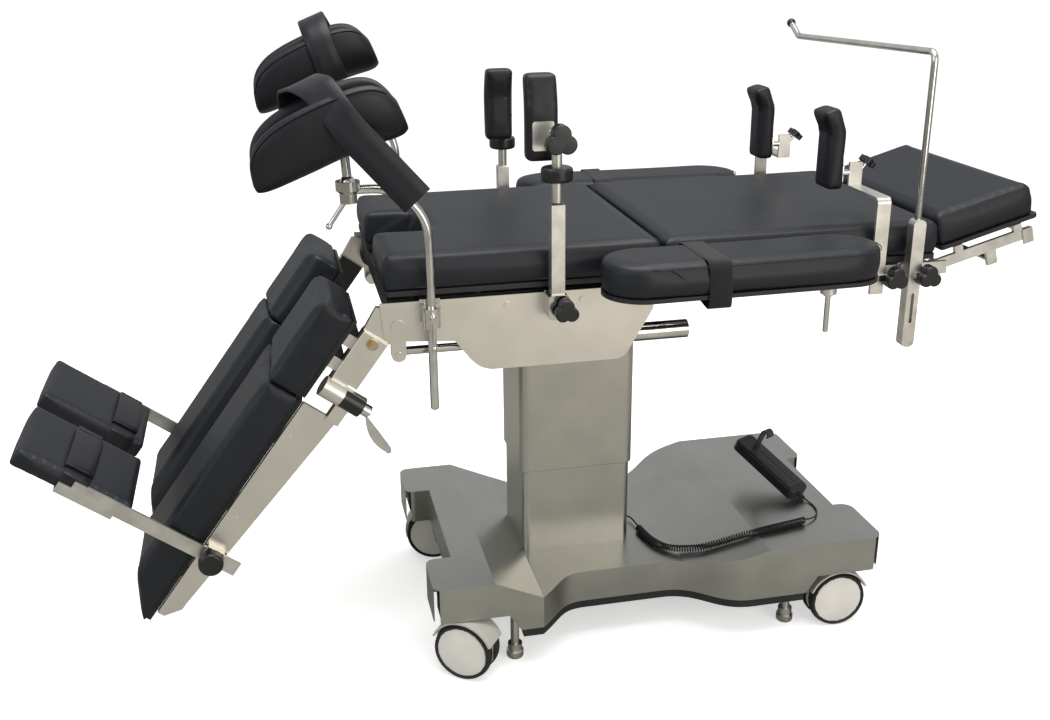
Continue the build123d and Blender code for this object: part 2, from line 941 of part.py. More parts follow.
# Lift mast, with the top plate under the cover's panel and the two ears of the pitch pivot
with BuildPart() as lift_mast:
    with BuildSketch(Plane.XY.offset(mast_bottom)):
        mast_length = guide_length - 2 * guide_wall - 2 * slide_fit
        mast_width = guide_width - 2 * guide_wall - 2 * slide_fit
        with Locations((column_centre, 0)):
            RectangleRounded(mast_length, mast_width, guide_wall)
            Rectangle(mast_length - 2 * mast_wall, mast_width - 2 * mast_wall, mode=Mode.SUBTRACT)
    extrude(amount=upper_cover_top - sheet - mast_bottom)
    with BuildSketch(Plane.XY.offset(upper_cover_top - sheet)):
        with Locations((column_centre, 0)):
            Rectangle(2 * (upper_half_length - saddle_plate), 2 * (upper_half_depth - saddle_plate))
    extrude(amount=-saddle_plate)
    with BuildSketch(Plane.XY.offset(upper_cover_top - sheet)):
        with Locations((column_centre, 0)):
            Rectangle(saddle_length, saddle_width)
    extrude(amount=sheet + saddle_plate / 2)
    for side in (near, far):
        with BuildSketch(side_view(side * (ear_inside + ear_thickness / 2))):
            with BuildLine():
                Polyline(
                    (column_centre - ear_radius, pitch_height),
                    (column_centre - saddle_length / 2, upper_cover_top),
                    (column_centre + saddle_length / 2, upper_cover_top),
                    (column_centre + ear_radius, pitch_height),
                )
                RadiusArc(
                    (column_centre - ear_radius, pitch_height),
                    (column_centre + ear_radius, pitch_height),
                    ear_radius,
                )
            make_face()
            with Locations((column_centre, pitch_height)):
                Circle(tilt_pin_radius + running_fit, mode=Mode.SUBTRACT)
        extrude(amount=ear_thickness / 2, both=True)
keep("lift_mast", lift_mast)

# Pitch cradle: the pins of the pitch pivot below, the roll shaft above
with BuildPart() as pitch_cradle:
    with BuildSketch(side_view(0)):
        with Locations((column_centre, pitch_height)):
            Circle(ear_radius - overrun)
        with Locations((column_centre, (pitch_height + roll_height) / 2)):
            Rectangle(2 * (ear_radius - overrun), roll_height - pitch_height)
    extrude(amount=ear_inside - air, both=True)
    with BuildSketch(side_view(0)):
        with Locations((column_centre, pitch_height)):
            Circle(tilt_pin_radius)
    extrude(amount=ear_inside + ear_thickness + pin_head, both=True)
    with BuildSketch(Plane.YZ.offset(column_centre)):
        with Locations((0, roll_height)):
            Circle(roll_boss_radius)
    extrude(amount=roll_boss_length / 2, both=True)
    with BuildSketch(Plane.YZ.offset(column_centre)):
        with Locations((0, roll_height)):
            Circle(tilt_pin_radius)
    extrude(amount=roll_shaft_length / 2, both=True)
keep("pitch_cradle", pitch_cradle)


# Seat section

frame_rail_outside = frame_rail_inside + frame_rail_width
frame_rail_middle = frame_rail_inside + frame_rail_width / 2
frame_rail_bottom = frame_rail_top - frame_rail_height
plate_inside = top_half_width - side_plate
frame_left = seat_left - pin_head * 2
lug_start = roll_boss_length / 2 + air
cylinder_length = cylinder_left + cylinder_right
plate_points = [
    (-plate_left + along * (plate_left + plate_right), plate_bottom + up * (frame_rail_top - plate_bottom))
    for along, up in plate_shares
]
plate_screws = [
    (-plate_left + share * (plate_left + plate_right), plate_screw_height) for share in plate_screw_shares
]
with BuildPart() as seat_frame:
    with BuildSketch(Plane.XY.offset(frame_rail_bottom)):
        for side in (near, far):
            with Locations(((seat_rail_right - frame_left) / 2, side * frame_rail_middle)):
                Rectangle(frame_left + seat_rail_right, frame_rail_width)
        cross_places = (-frame_left + cross_width / 2, column_centre - lug_start - lug_thickness / 2)
        for cross_x in cross_places:
            with Locations((cross_x, 0)):
                Rectangle(cross_width, 2 * frame_rail_inside)
        with Locations((column_centre + lug_start + lug_thickness / 2, 0)):
            Rectangle(lug_thickness, 2 * frame_rail_inside)
    extrude(amount=frame_rail_height)
    for lug_side in (-1, 1):
        with BuildSketch(Plane.YZ.offset(column_centre + lug_side * (lug_start + lug_thickness / 2))):
            with Locations((0, roll_height)):
                Circle(roll_boss_radius)
            with BuildLine():
                Polyline(
                    (roll_boss_radius, roll_height),
                    (roll_boss_radius + lug_spread, frame_rail_bottom + 2 * overrun),
                    (-roll_boss_radius - lug_spread, frame_rail_bottom + 2 * overrun),
                    (-roll_boss_radius, roll_height),
                    close=True,
                )
            make_face()
            with Locations((0, roll_height)):
                Circle(tilt_pin_radius + running_fit, mode=Mode.SUBTRACT)
        extrude(amount=lug_thickness / 2, both=True)
    for side in (near, far):
        with BuildSketch(side_view(side * (frame_rail_inside + hinge_block / 2))):
            with Locations((-hinge_left, hinge_height)):
                Circle(hinge_block_radius)
            with Locations((-hinge_left, (hinge_height + frame_rail_bottom) / 2)):
                Rectangle(2 * hinge_block_radius, frame_rail_bottom - hinge_height)
            with Locations((-hinge_left, hinge_height)):
                Circle(hinge_pin_radius + running_fit, mode=Mode.SUBTRACT)
        extrude(amount=hinge_block / 2, both=True)
        with BuildSketch(side_view(side * (frame_rail_inside + back_ear / 2))):
            with Locations((back_hinge, back_hinge_height)):
                Circle(back_ear_radius)
            with Locations(((back_hinge + seat_rail_right) / 2, back_hinge_height)):
                Rectangle(back_hinge - seat_rail_right + overrun, back_ear_radius * 1.2)
            with Locations((back_hinge, back_hinge_height)):
                Circle(back_pin_radius + running_fit, mode=Mode.SUBTRACT)
        extrude(amount=back_ear / 2, both=True)
        with BuildSketch(Plane.XY.offset(frame_rail_top)):
            for share in spacer_shares:
                with Locations((-frame_left + share * (frame_left + seat_rail_right), side * frame_rail_middle)):
                    Circle(spacer_radius)
        extrude(amount=board_bottom - frame_rail_top)
        with BuildSketch(side_view(side * (frame_rail_outside + plate_inside) / 2)):
            with Locations(*plate_screws):
                Circle(spacer_radius)
        extrude(amount=(plate_inside - frame_rail_outside) / 2, both=True)
        with BuildSketch(side_view(side * rod_offset)):
            with Locations((cylinder_hanger, (rod_height + frame_rail_bottom) / 2)):
                Rectangle(cross_width, frame_rail_bottom - rod_height)
        extrude(amount=(frame_rail_outside - rod_offset), both=True)
        cylinder_end = Plane(origin=(-cylinder_left, side * rod_offset, rod_height), x_dir=(0, 1, 0), z_dir=(1, 0, 0))
        with BuildSketch(cylinder_end):
            Circle(cylinder_radius)
        extrude(amount=cylinder_length)
        with BuildSketch(cylinder_end):
            Circle(rod_radius + running_fit)
        extrude(amount=cylinder_bore, mode=Mode.SUBTRACT)
        with BuildSketch(side_view(side * frame_rail_inside)):
            with Locations((-hinge_left, hinge_height)):
                Circle(hinge_pin_radius + running_fit)
        extrude(amount=2 * hinge_block, both=True, mode=Mode.SUBTRACT)
keep("seat_frame", seat_frame)

with BuildPart() as near_side_plate:
    with BuildSketch(side_view(-plate_inside)) as face:
        with BuildLine():
            Polyline(*plate_points, close=True)
        make_face()
        fillet(face.vertices().sort_by_distance(plate_points[1])[0], plate_hinge_fillet)
        fillet(face.vertices().sort_by_distance(plate_points[4])[0], plate_front_fillet)
        fillet(face.vertices().sort_by_distance(plate_points[5])[0], plate_rear_fillet)
    extrude(amount=side_plate)
    with BuildSketch(side_view(-top_half_width)):
        with Locations((-hinge_left, hinge_height)):
            Circle(hinge_head_radius)
        with Locations(*plate_screws):
            Circle(spacer_radius * 0.7)
    extrude(amount=side_plate * 0.8)
    with BuildSketch(side_view(-plate_inside)):
        with Locations((-hinge_left, hinge_height)):
            Circle(hinge_pin_radius)
    extrude(amount=frame_rail_inside - plate_inside)
with BuildPart() as seat_side_plates:
    add(near_side_plate.part)
    mirror(near_side_plate.part, about=Plane.XZ)
keep("seat_side_plates", seat_side_plates)


def top_board(left, right):
    """A flat board of the top, with rounded corners."""
    with BuildPart() as board:
        with BuildSketch(Plane.XY.offset(board_bottom)):
            with Locations(((left + right) / 2, 0)):
                RectangleRounded(right - left, 2 * leg_pad_outer, pad_corner)
        extrude(amount=board_thickness)
    return board


def top_pad(left, right, half, bottom, thickness):
    """A foam pad: rounded edges, sides drawn in a little above the bottom, and a low crown."""
    shoulder = thickness - pad_crown
    with BuildPart() as pad:
        with BuildSketch(Plane.XY.offset(bottom)):
            with Locations(((left + right) / 2, 0)):
                RectangleRounded(right - left - 2 * pad_tuck, 2 * (half - pad_tuck), pad_corner)
        with BuildSketch(Plane.XY.offset(bottom + thickness * pad_swell_share)):
            with Locations(((left + right) / 2, 0)):
                RectangleRounded(right - left, 2 * half, pad_corner)
        with BuildSketch(Plane.XY.offset(bottom + shoulder)):
            with Locations(((left + right) / 2, 0)):
                RectangleRounded(right - left - pad_tuck, 2 * half - pad_tuck, pad_corner)
        loft(ruled=True)
        with BuildSketch(Plane.XY.offset(bottom + shoulder)):
            with Locations(((left + right) / 2, 0)):
                RectangleRounded(right - left - pad_tuck, 2 * half - pad_tuck, pad_corner)
        with BuildSketch(Plane.XY.offset(bottom + thickness)):
            with Locations(((left + right) / 2, 0)):
                RectangleRounded(right - left - pad_shoulder, 2 * half - pad_shoulder, pad_corner)
        loft(ruled=True)
    return pad


with BuildPart() as seat_board:
    add(top_board(-seat_left + board_inset, seat_board_right).part)
    with BuildSketch(Plane.XY.offset(board_bottom)):
        with Locations((-seat_left, 0)):
            Rectangle(2 * (cutout_depth + board_inset), 2 * (cutout_half + board_inset))
    extrude(amount=board_thickness, mode=Mode.SUBTRACT)
keep("seat_board", seat_board)

board_top = board_bottom + board_thickness
with BuildPart() as seat_pad:
    add(top_pad(-seat_left, seat_right, leg_pad_outer + board_inset, board_top, pad_thickness).part)
    with BuildSketch(Plane.XY.offset(board_top - overrun)):
        with Locations((-seat_left, 0)):
            RectangleRounded(2 * cutout_depth, 2 * cutout_half, cutout_half / 2)
    extrude(amount=pad_thickness + 2 * overrun, mode=Mode.SUBTRACT)
keep("seat_pad", seat_pad)


# Back section

member_outside = back_arm_inside + back_arm
member_inside = back_arm_inside - overrun * 2
rail_inside = top_half_width - side_rail_thickness
back_cross_span = back_frame_right - cross_width - back_cross_left
back_crosses = [back_cross_left + share * back_cross_span for share in back_cross_shares]
with BuildPart() as near_back_side:
    with BuildSketch(side_view(-back_arm_inside)):
        with Locations((back_hinge, back_hinge_height)):
            Circle(back_ear_radius)
        with Locations((back_hinge, back_hinge_height)):
            Rectangle(
                back_member_left - back_hinge + cross_width,
                back_ear_radius,
                align=(Align.MIN, Align.CENTER),
            )
    extrude(amount=back_arm)
    with BuildSketch(side_view(-member_inside)):
        with Locations((back_member_left, back_member_top)):
            Rectangle(back_frame_right - back_member_left, back_member_height, align=(Align.MIN, Align.MAX))
    extrude(amount=member_outside - member_inside)
    with BuildSketch(side_view(-back_arm_inside)):
        with Locations((back_hinge, back_hinge_height)):
            Circle(back_pin_radius)
    extrude(amount=-back_ear - pin_head - air)
    with BuildSketch(side_view(-rail_inside)):
        with Locations((side_rail_left, side_rail_top)):
            Rectangle(side_rail_right - side_rail_left, side_rail_height, align=(Align.MIN, Align.MAX))
    extrude(amount=side_rail_thickness)
    with BuildSketch(side_view(-member_outside)):
        for share in rail_stud_shares:
            stud_x = side_rail_left + share * (back_frame_right - side_rail_left)
            with Locations((stud_x, side_rail_top - side_rail_height / 2)):
                Circle(side_rail_height / 3)
    extrude(amount=rail_inside - member_outside)
    with BuildSketch(side_view(-head_ear_inside)):
        with Locations((head_hinge, head_hinge_height)):
            Circle(head_ear_radius)
        with Locations((head_hinge, head_hinge_height)):
            Rectangle(head_hinge - back_frame_right + overrun, head_ear_radius, align=(Align.MAX, Align.CENTER))
    extrude(amount=member_outside - head_ear_inside)
    with BuildSketch(side_view(-head_ear_inside)):
        with Locations((head_hinge, head_hinge_height)):
            Circle(head_pin_radius + running_fit)
    extrude(amount=member_outside - head_ear_inside, mode=Mode.SUBTRACT)
    with BuildSketch(Plane.XY.offset(back_member_top)):
        for cross_x in back_crosses:
            with Locations((cross_x + cross_width / 2, -back_arm_inside)):
                Circle(spacer_radius)
    extrude(amount=board_bottom - back_member_top)

back_bars = []
for cross_x in back_crosses:
    with BuildPart() as back_bar:
        with BuildSketch(Plane.XY.offset(back_member_top - back_member_height)):
            with Locations((cross_x, 0)):
                Rectangle(cross_width, 2 * member_inside, align=(Align.MIN, Align.CENTER))
        extrude(amount=back_member_height)
    back_bars.append(back_bar)
back_frame = [near_back_side, mirrored(near_back_side), *back_bars]

back_board = top_board(back_board_left, back_pad_right - board_inset)
keep("back_board", back_board)
back_pad = top_pad(seat_right + pad_gap, back_pad_right, leg_pad_outer + board_inset, board_top, pad_thickness)
keep("back_pad", back_pad)


# Head section, tilted about its hinge

head_angle = radians(head_tilt)
head_x_dir = (cos(head_angle), 0, sin(head_angle))


def head_view(y):
    """A sketch plane at the head hinge, along the head section and up out of it, facing -Y."""
    return Plane(origin=(head_hinge, y, head_hinge_height), x_dir=head_x_dir, z_dir=(0, -1, 0))


def head_up(height):
    """A plane across the head section, at a height above its hinge."""
    origin = (head_hinge - height * sin(head_angle), 0, head_hinge_height + height * cos(head_angle))
    return Plane(origin=origin, x_dir=head_x_dir, z_dir=(-sin(head_angle), 0, cos(head_angle)))


with BuildPart() as near_head_side:
    with BuildSketch(head_view(-head_arm_inside)):
        Circle(head_ear_radius)
        Rectangle(head_bar_length, head_bar_height, align=(Align.MIN, Align.CENTER))
    extrude(amount=head_bar_thickness)
    with BuildSketch(head_view(-head_arm_inside - head_bar_thickness)):
        Circle(head_pin_radius)
    extrude(amount=member_outside - head_arm_inside - head_bar_thickness + pin_head)
    with BuildSketch(head_view(-head_arm_inside - head_bar_thickness)):
        with Locations((head_bar_length, head_bar_height / 2)):
            Rectangle(head_bar_height, head_bar_height * 1.4, align=(Align.MAX, Align.MAX))
    extrude(amount=head_bar_thickness / 2)
    with BuildSketch(head_view(-head_arm_inside)):
        with Locations((head_post_along, 0)):
            Rectangle(head_post_width, head_post_drop, align=(Align.CENTER, Align.MAX))
    extrude(amount=head_bar_thickness)
with BuildPart() as head_frame:
    add(near_head_side.part)
    mirror(near_head_side.part, about=Plane.XZ)
    for along in (head_post_along, head_bar_length - head_bar_thickness):
        low = -head_post_drop + head_bar_thickness if along == head_post_along else 0
        with BuildSketch(head_view(-head_arm_inside)):
            with Locations((along, low)):
                Circle(head_bar_thickness * 0.7)
        extrude(amount=-2 * head_arm_inside)
    with BuildSketch(head_up(head_bar_height / 2)):
        for along in (head_spacer_near, head_bar_length - head_spacer_near / 2):
            for side in (near, far):
                with Locations((along, side * (head_arm_inside + head_bar_thickness / 2))):
                    Rectangle(2 * spacer_radius, head_bar_thickness)
    extrude(amount=head_board_bottom - head_bar_height / 2)
keep("head_frame", head_frame)

with BuildPart() as head_board:
    with BuildSketch(head_up(head_board_bottom)):
        with Locations(((head_pad_start + head_length) / 2 + board_inset, 0)):
            RectangleRounded(head_length - head_pad_start + board_inset, 2 * head_half_width, pad_corner)
    extrude(amount=board_thickness)
    fillet(head_board.edges().filter_by(Axis.Y).group_by(Axis.X)[-1], board_thickness * 0.45)
keep("head_board", head_board)

head_pad_middle = (head_pad_start + head_length) / 2
with BuildPart() as head_pad:
    for pair in zip(layer_shares, layer_shares[1:]):
        for rise, draw in pair:
            with BuildSketch(head_up(head_board_bottom + board_thickness + rise * head_pad_thickness)):
                with Locations((head_pad_middle, 0)):
                    tuck = draw * head_pad_tuck
                    RectangleRounded(head_length - head_pad_start - tuck, 2 * head_half_width - tuck, pad_corner)
        loft(ruled=True)
keep("head_pad", head_pad)


# Leg sections


board_low = leg_pad_base - leg_board


def leg_bearer(along, low, outside):
    """A bar across the near leg that carries the board, from the height low up to it."""
    inside = leg_pad_inner + overrun
    with BuildPart() as bar:
        with BuildSketch(leg_up(along, -(inside + outside) / 2, low)):
            Rectangle(cross_width, outside - inside)
        extrude(amount=board_low - low)
    return bar.part


with BuildPart() as near_arm:
    with BuildSketch(leg_view(-arm_inside)):
        Circle(hub_radius)
        with BuildLine():
            Polyline(
                (-lug_radius, leg_box_high - overrun),
                (-lug_radius + overrun, leg_box_high + overrun),
                (leg_box_start + overrun, leg_box_high),
                (leg_box_start + overrun, leg_box_low),
                (0, -hub_radius + running_fit),
                (-hub_radius + running_fit, 0),
                close=True,
            )
        make_face()
    extrude(amount=-arm_thickness)
    with BuildSketch(side_view(-arm_inside)):
        with Locations((-hinge_left, hinge_height - lug_drop)):
            Circle(lug_radius)
        with Locations((-hinge_left, hinge_height)):
            Rectangle(2 * lug_radius, lug_drop, align=(Align.CENTER, Align.MAX))
    extrude(amount=arm_thickness)
    with BuildSketch(side_view(-arm_inside - arm_thickness)):
        with Locations((-hinge_left, hinge_height - lug_drop)):
            Circle(lug_pin_radius)
    extrude(amount=side_plate)
    with BuildSketch(leg_view(-rod_offset)):
        with BuildLine():
            Polyline(
                (leg_box_start, leg_box_low),
                (leg_box_start, leg_box_high),
                (barrel_along - overrun, leg_box_high),
                (barrel_along - overrun, barrel_split + 2 * air),
                (leg_box_end, barrel_split + 2 * air),
                (leg_box_end, leg_box_low),
                close=True,
            )
        make_face()
    extrude(amount=-(leg_box_outside - rod_offset))
    box_edges = near_arm.edges().group_by(Axis.Y)[0]
    fillet(box_edges, side_plate / 2)
    with BuildSketch(leg_up(barrel_along, -barrel_offset, barrel_split)):
        Circle(barrel_radius)
    extrude(amount=barrel_high - barrel_split)
    with BuildSketch(leg_up(barrel_along, -barrel_offset, barrel_low)):
        Circle(barrel_pin)
    extrude(amount=barrel_high - barrel_low)
    with BuildSketch(leg_up(barrel_along, -barrel_offset, barrel_low)):
        Circle(lever_pin)
    extrude(amount=-lever_hub_length - pin_head)
    for share in thigh_bearer_shares:
        along = leg_box_start + share * (leg_box_end - leg_box_start)
        add(leg_bearer(along, leg_box_high - 2 * overrun, leg_pad_outer - 2 * overrun))
    with BuildSketch(side_view(-arm_inside + overrun)):
        with Locations((-hinge_left, hinge_height)):
            Circle(hinge_pin_radius + running_fit)
    extrude(amount=arm_thickness + 2 * overrun, mode=Mode.SUBTRACT)
with BuildPart() as near_release:
    with BuildSketch(leg_view(-leg_box_outside)):
        with Locations((release_along, release_high)):
            Circle(release_radius)
    extrude(amount=-pin_head)
    fillet(near_release.faces().sort_by(Axis.Y)[0].edges(), pin_head / 3)
keep_pair("leg_arm", near_arm, near_release)


def leg_pad(start, start_slant, end, end_slant, bevel_end):
    """A foam pad and its board on the near leg, its ends slanted across the leg."""
    inner = leg_pad_inner - leg_bevel
    with BuildPart() as board:
        with BuildSketch(leg_up(0, 0, board_low)):
            with BuildLine():
                Polyline(
                    (start + board_inset, leg_pad_outer - leg_board_inset),
                    (end - board_inset, leg_pad_outer - leg_board_inset),
                    (end - board_inset - end_slant, inner + board_inset),
                    (start + board_inset - start_slant, inner + board_inset),
                    close=True,
                )
            make_face()
        extrude(amount=leg_board)
    with BuildPart() as foam:
        with BuildSketch(leg_up(0, 0, leg_pad_base)):
            with BuildLine():
                Polyline(
                    (start, leg_pad_outer),
                    (end, leg_pad_outer),
                    (end - end_slant, inner),
                    (start - start_slant, inner),
                    close=True,
                )
            make_face()
        extrude(amount=leg_pad_thickness)
        top = leg_pad_base + leg_pad_thickness
        if bevel_end:
            with BuildSketch(leg_view(0)):
                with BuildLine():
                    Polyline(
                        (end - calf_pad_bevel, top),
                        (end + overrun, leg_pad_base + side_plate),
                        (end + overrun, top + overrun),
                        (end - calf_pad_bevel, top + overrun),
                        close=True,
                    )
                make_face()
            extrude(amount=-2 * leg_pad_outer, mode=Mode.SUBTRACT)
            long_end = end - calf_pad_bevel
        else:
            long_end = end
            hip = foam.edges().sort_by_distance(leg_point(start, -(leg_pad_outer + inner) / 2, top))[0]
            chamfer(hip, leg_bevel / 2)
        inner_edge = foam.edges().sort_by_distance(leg_point((start + long_end) / 2, -inner, top))[0]
        chamfer(inner_edge, leg_bevel)
        outer_edge = foam.edges().sort_by_distance(leg_point((start + long_end) / 2, -leg_pad_outer, top))[0]
        fillet(outer_edge, leg_bevel / 2)
    return board, foam


thigh_board, thigh_foam = leg_pad(thigh_pad_start, 0, leg_seam, leg_seam_slant, False)
keep_pair("thigh_pad", thigh_board, thigh_foam)
calf_board, calf_foam = leg_pad(leg_seam + leg_seam_gap, leg_seam_slant, calf_pad_end, 0, True)
keep_pair("calf_pad", calf_board, calf_foam)

plate_inner = top_half_width - calf_plate_width


def calf_frame(foot_along):
    """The near calf frame with its lower barrel, cross bearers and the foot plate's clamp."""
    with BuildPart() as frame:
        with BuildSketch(leg_view(-plate_inner)) as face:
            with BuildLine():
                Polyline(
                    (calf_plate_start, leg_box_low - overrun),
                    (calf_plate_start, board_low),
                    (calf_plate_end, board_low),
                    (calf_plate_end, board_low - calf_tip),
                    (calf_plate_end - 2 * calf_tip, board_low - calf_tip - calf_taper / 2),
                    (calf_plate_end - 3 * calf_tip, board_low - calf_tip - calf_taper / 2),
                    close=True,
                )
            make_face()
            fillet(face.vertices().group_by(Axis.X)[0], calf_plate_corner)
        extrude(amount=-calf_plate_width)
        with BuildSketch(leg_up(barrel_along, -barrel_offset, -barrel_low_length)):
            Circle(barrel_radius)
        extrude(amount=barrel_split - air + barrel_low_length)
        with BuildSketch(leg_up(barrel_along, -plate_inner, -calf_plate_width)):
            bridge_length = calf_plate_start - barrel_along + overrun
            Rectangle(bridge_length, barrel_offset - plate_inner, align=(Align.MIN, Align.MIN))
        extrude(amount=barrel_split - air + calf_plate_width)
        with BuildSketch(leg_up(barrel_along, -barrel_offset, barrel_low)):
            Circle(barrel_pin + running_fit)
        extrude(amount=barrel_high, mode=Mode.SUBTRACT)
        plate_length = calf_plate_end - calf_plate_start
        plate_low = leg_box_low - overrun
        for share in calf_bearer_shares:
            add(leg_bearer(calf_plate_start + share * plate_length, board_low - calf_plate_width, plate_inner))
        with BuildSketch(leg_view(-top_half_width)):
            for along, up in calf_screw_shares:
                with Locations((calf_plate_start + along * plate_length, plate_low + up * (board_low - plate_low))):
                    Circle(calf_screw_radius)
        extrude(amount=-screw_proud)
    with BuildPart() as clamp:
        with BuildSketch(leg_up(foot_along, -top_half_width, foot_clamp_low)):
            Rectangle(clamp_width, foot_clamp_depth, align=(Align.CENTER, Align.MIN))
        extrude(amount=foot_clamp_high - foot_clamp_low)
        with BuildSketch(leg_up(foot_along, -foot_arm_inside, foot_clamp_low)):
            Rectangle(foot_arm_width + 2 * air, foot_arm_thickness + 2 * air)
        extrude(amount=foot_clamp_high - foot_clamp_low, mode=Mode.SUBTRACT)
        knob_high = (foot_clamp_low + foot_clamp_high) / 2
        with BuildSketch(leg_view(-top_half_width - foot_clamp_depth)):
            with Locations((foot_along, knob_high)):
                Circle(knob_neck)
        extrude(amount=-knob_neck)
        with BuildSketch(leg_view(-top_half_width - foot_clamp_depth - knob_neck)):
            with Locations((foot_along, knob_high)):
                Circle(knob_radius)
        extrude(amount=-knob_length)
        fillet(clamp.faces().sort_by(Axis.Y)[0].edges(), knob_neck)
    return frame, clamp


def foot_plate(along, low):
    """The near foot plate: its flat arm, its block and a strap round the block."""
    half = foot_plate_thickness / 2
    with BuildPart() as arm:
        with BuildSketch(leg_up(along, -foot_arm_inside, foot_arm_low)):
            Rectangle(foot_arm_width, foot_arm_thickness)
        extrude(amount=low + foot_plate_height / 2 - foot_arm_low)
        with BuildSketch(leg_up(along, 0, low + cross_width)):
            with Locations((half, foot_arm_inside + foot_arm_thickness / 2)):
                Rectangle(pin_head, foot_plate_width / 2, align=(Align.MIN, Align.MAX))
        extrude(amount=foot_plate_height / 2)
        with BuildSketch(leg_up(along, 0, low + cross_width)):
            with Locations((0, foot_arm_inside + foot_arm_thickness / 2)):
                Rectangle(half + pin_head, foot_arm_thickness, align=(Align.MIN, Align.MAX))
        extrude(amount=foot_plate_height / 2)
    outside = foot_arm_inside - foot_arm_thickness / 2
    with BuildPart() as block:
        with BuildSketch(leg_up(along, -outside, low)):
            Rectangle(foot_plate_thickness, foot_plate_width, align=(Align.CENTER, Align.MAX))
        extrude(amount=foot_plate_height)
        fillet(block.edges(), foot_block_edge)
    middle = outside - foot_plate_width * foot_strap_share
    hollow_across = foot_plate_thickness + 2 * air
    hollow_high = foot_plate_height + 2 * air
    with BuildPart() as strap:
        with BuildSketch(leg_view(-middle)):
            with Locations((along, low + foot_plate_height / 2)):
                RectangleRounded(
                    foot_plate_thickness + 2 * strap_out, foot_plate_height + 2 * strap_out, foot_block_edge
                )
                RectangleRounded(hollow_across, hollow_high, foot_strap_corner, mode=Mode.SUBTRACT)
            with Locations((along + half + pin_head / 2, low + cross_width + foot_plate_height / 4)):
                Rectangle(pin_head + 2 * air, foot_plate_height / 2 + 2 * air, mode=Mode.SUBTRACT)
        extrude(amount=strap_width / 2, both=True)
        with BuildSketch(leg_view(-middle)):
            with Locations((along - half - strap_out, low + foot_plate_height / 2)):
                RectangleRounded(sleeve_thickness, foot_plate_height * sleeve_share, foot_strap_corner)
            with Locations((along, low + foot_plate_height / 2)):
                RectangleRounded(hollow_across, hollow_high, foot_strap_corner, mode=Mode.SUBTRACT)
        extrude(amount=sleeve_width / 2, both=True)
    return arm, block, strap


near_frame, near_clamp = calf_frame(near_foot_along)
keep("near_calf_frame", near_frame, near_clamp)
far_frame, far_clamp = calf_frame(far_foot_along)
keep("far_calf_frame", mirrored(far_frame), mirrored(far_clamp))
keep("near_foot_plate", *foot_plate(near_foot_along, near_foot_low))
keep("far_foot_plate", *[mirrored(piece) for piece in foot_plate(far_foot_along, far_foot_low)])

with BuildPart() as near_lever:
    with BuildSketch(leg_up(barrel_along, -barrel_offset, barrel_low - air)):
        Circle(lever_hub)
    extrude(amount=-lever_hub_length)
    with BuildSketch(leg_view(-barrel_offset)):
        with BuildLine():
            lever_points = [
                (barrel_along + overrun + run * lever_run, barrel_low - side_plate - fall * lever_fall)
                for run, fall in lever_shares
            ]
            ThreePointArc(lever_points[0], lever_points[1], lever_points[2])
            ThreePointArc(lever_points[2], lever_points[3], lever_points[4])
            ThreePointArc(lever_points[4], lever_points[5], lever_points[6])
            Line(lever_points[6], lever_points[0])
        make_face()
    extrude(amount=lever_pin, both=True)
    with BuildSketch(leg_up(barrel_along, -barrel_offset, barrel_low)):
        Circle(lever_pin + running_fit)
    extrude(amount=-lever_hub_length - pin_head - overrun, mode=Mode.SUBTRACT)
keep_pair("leg_clamp_lever", near_lever)

with BuildPart() as near_rod:
    with BuildSketch(Plane(origin=(-hinge_left, -rod_offset, rod_height), x_dir=(0, 1, 0), z_dir=(1, 0, 0))):
        Circle(rod_radius)
    extrude(amount=hinge_left - rod_end)
    with BuildSketch(side_view(-rod_offset)):
        with Locations((-hinge_left, rod_height)):
            Circle(lug_radius - sheet)
    extrude(amount=rod_radius, both=True)
keep_pair("leg_rod", near_rod)


# Clamps that hang on the side rails and the seat's side plates


def clamp_block(x, top, bottom, depth):
    """The body of a near clamp: a block outside the rail with a lip over its top."""
    with BuildPart() as block:
        with BuildSketch(side_view(-top_half_width - air)):
            with Locations((x, (top + bottom) / 2)):
                RectangleRounded(clamp_width, top - bottom, overrun)
        extrude(amount=depth)
    return block.part


def knob_out(x, z, start, radius):
    """A lobed knob on a neck, pointing out on the near side."""
    with BuildPart() as knob:
        with BuildSketch(side_view(-start)):
            with Locations((x, z)):
                Circle(knob_neck)
        extrude(amount=knob_neck)
        with BuildSketch(side_view(-start - knob_neck)):
            with Locations((x, z)):
                Circle(radius * knob_core_share)
                with PolarLocations(radius * lobe_place_share, lobes, start_angle=90):
                    Circle(radius * lobe_radius_share)
        extrude(amount=knob_length)
        fillet(knob.faces().sort_by(Axis.Y)[0].edges(), knob_neck / 2)
    return knob


plate_top = frame_rail_top


def plate_clamp(x, depth):
    """A near clamp that hangs on the edge of a seat side plate, its lip over the edge."""
    with BuildPart() as clamp:
        add(clamp_block(x, plate_top + clamp_lip, plate_top - clamp_drop, depth))
        with BuildSketch(side_view(-plate_inside + clamp_lip)):
            with Locations((x, plate_top + air)):
                Rectangle(clamp_width, clamp_lip - air, align=(Align.CENTER, Align.MIN))
        extrude(amount=clamp_lip + side_plate + overrun)
    return clamp.part


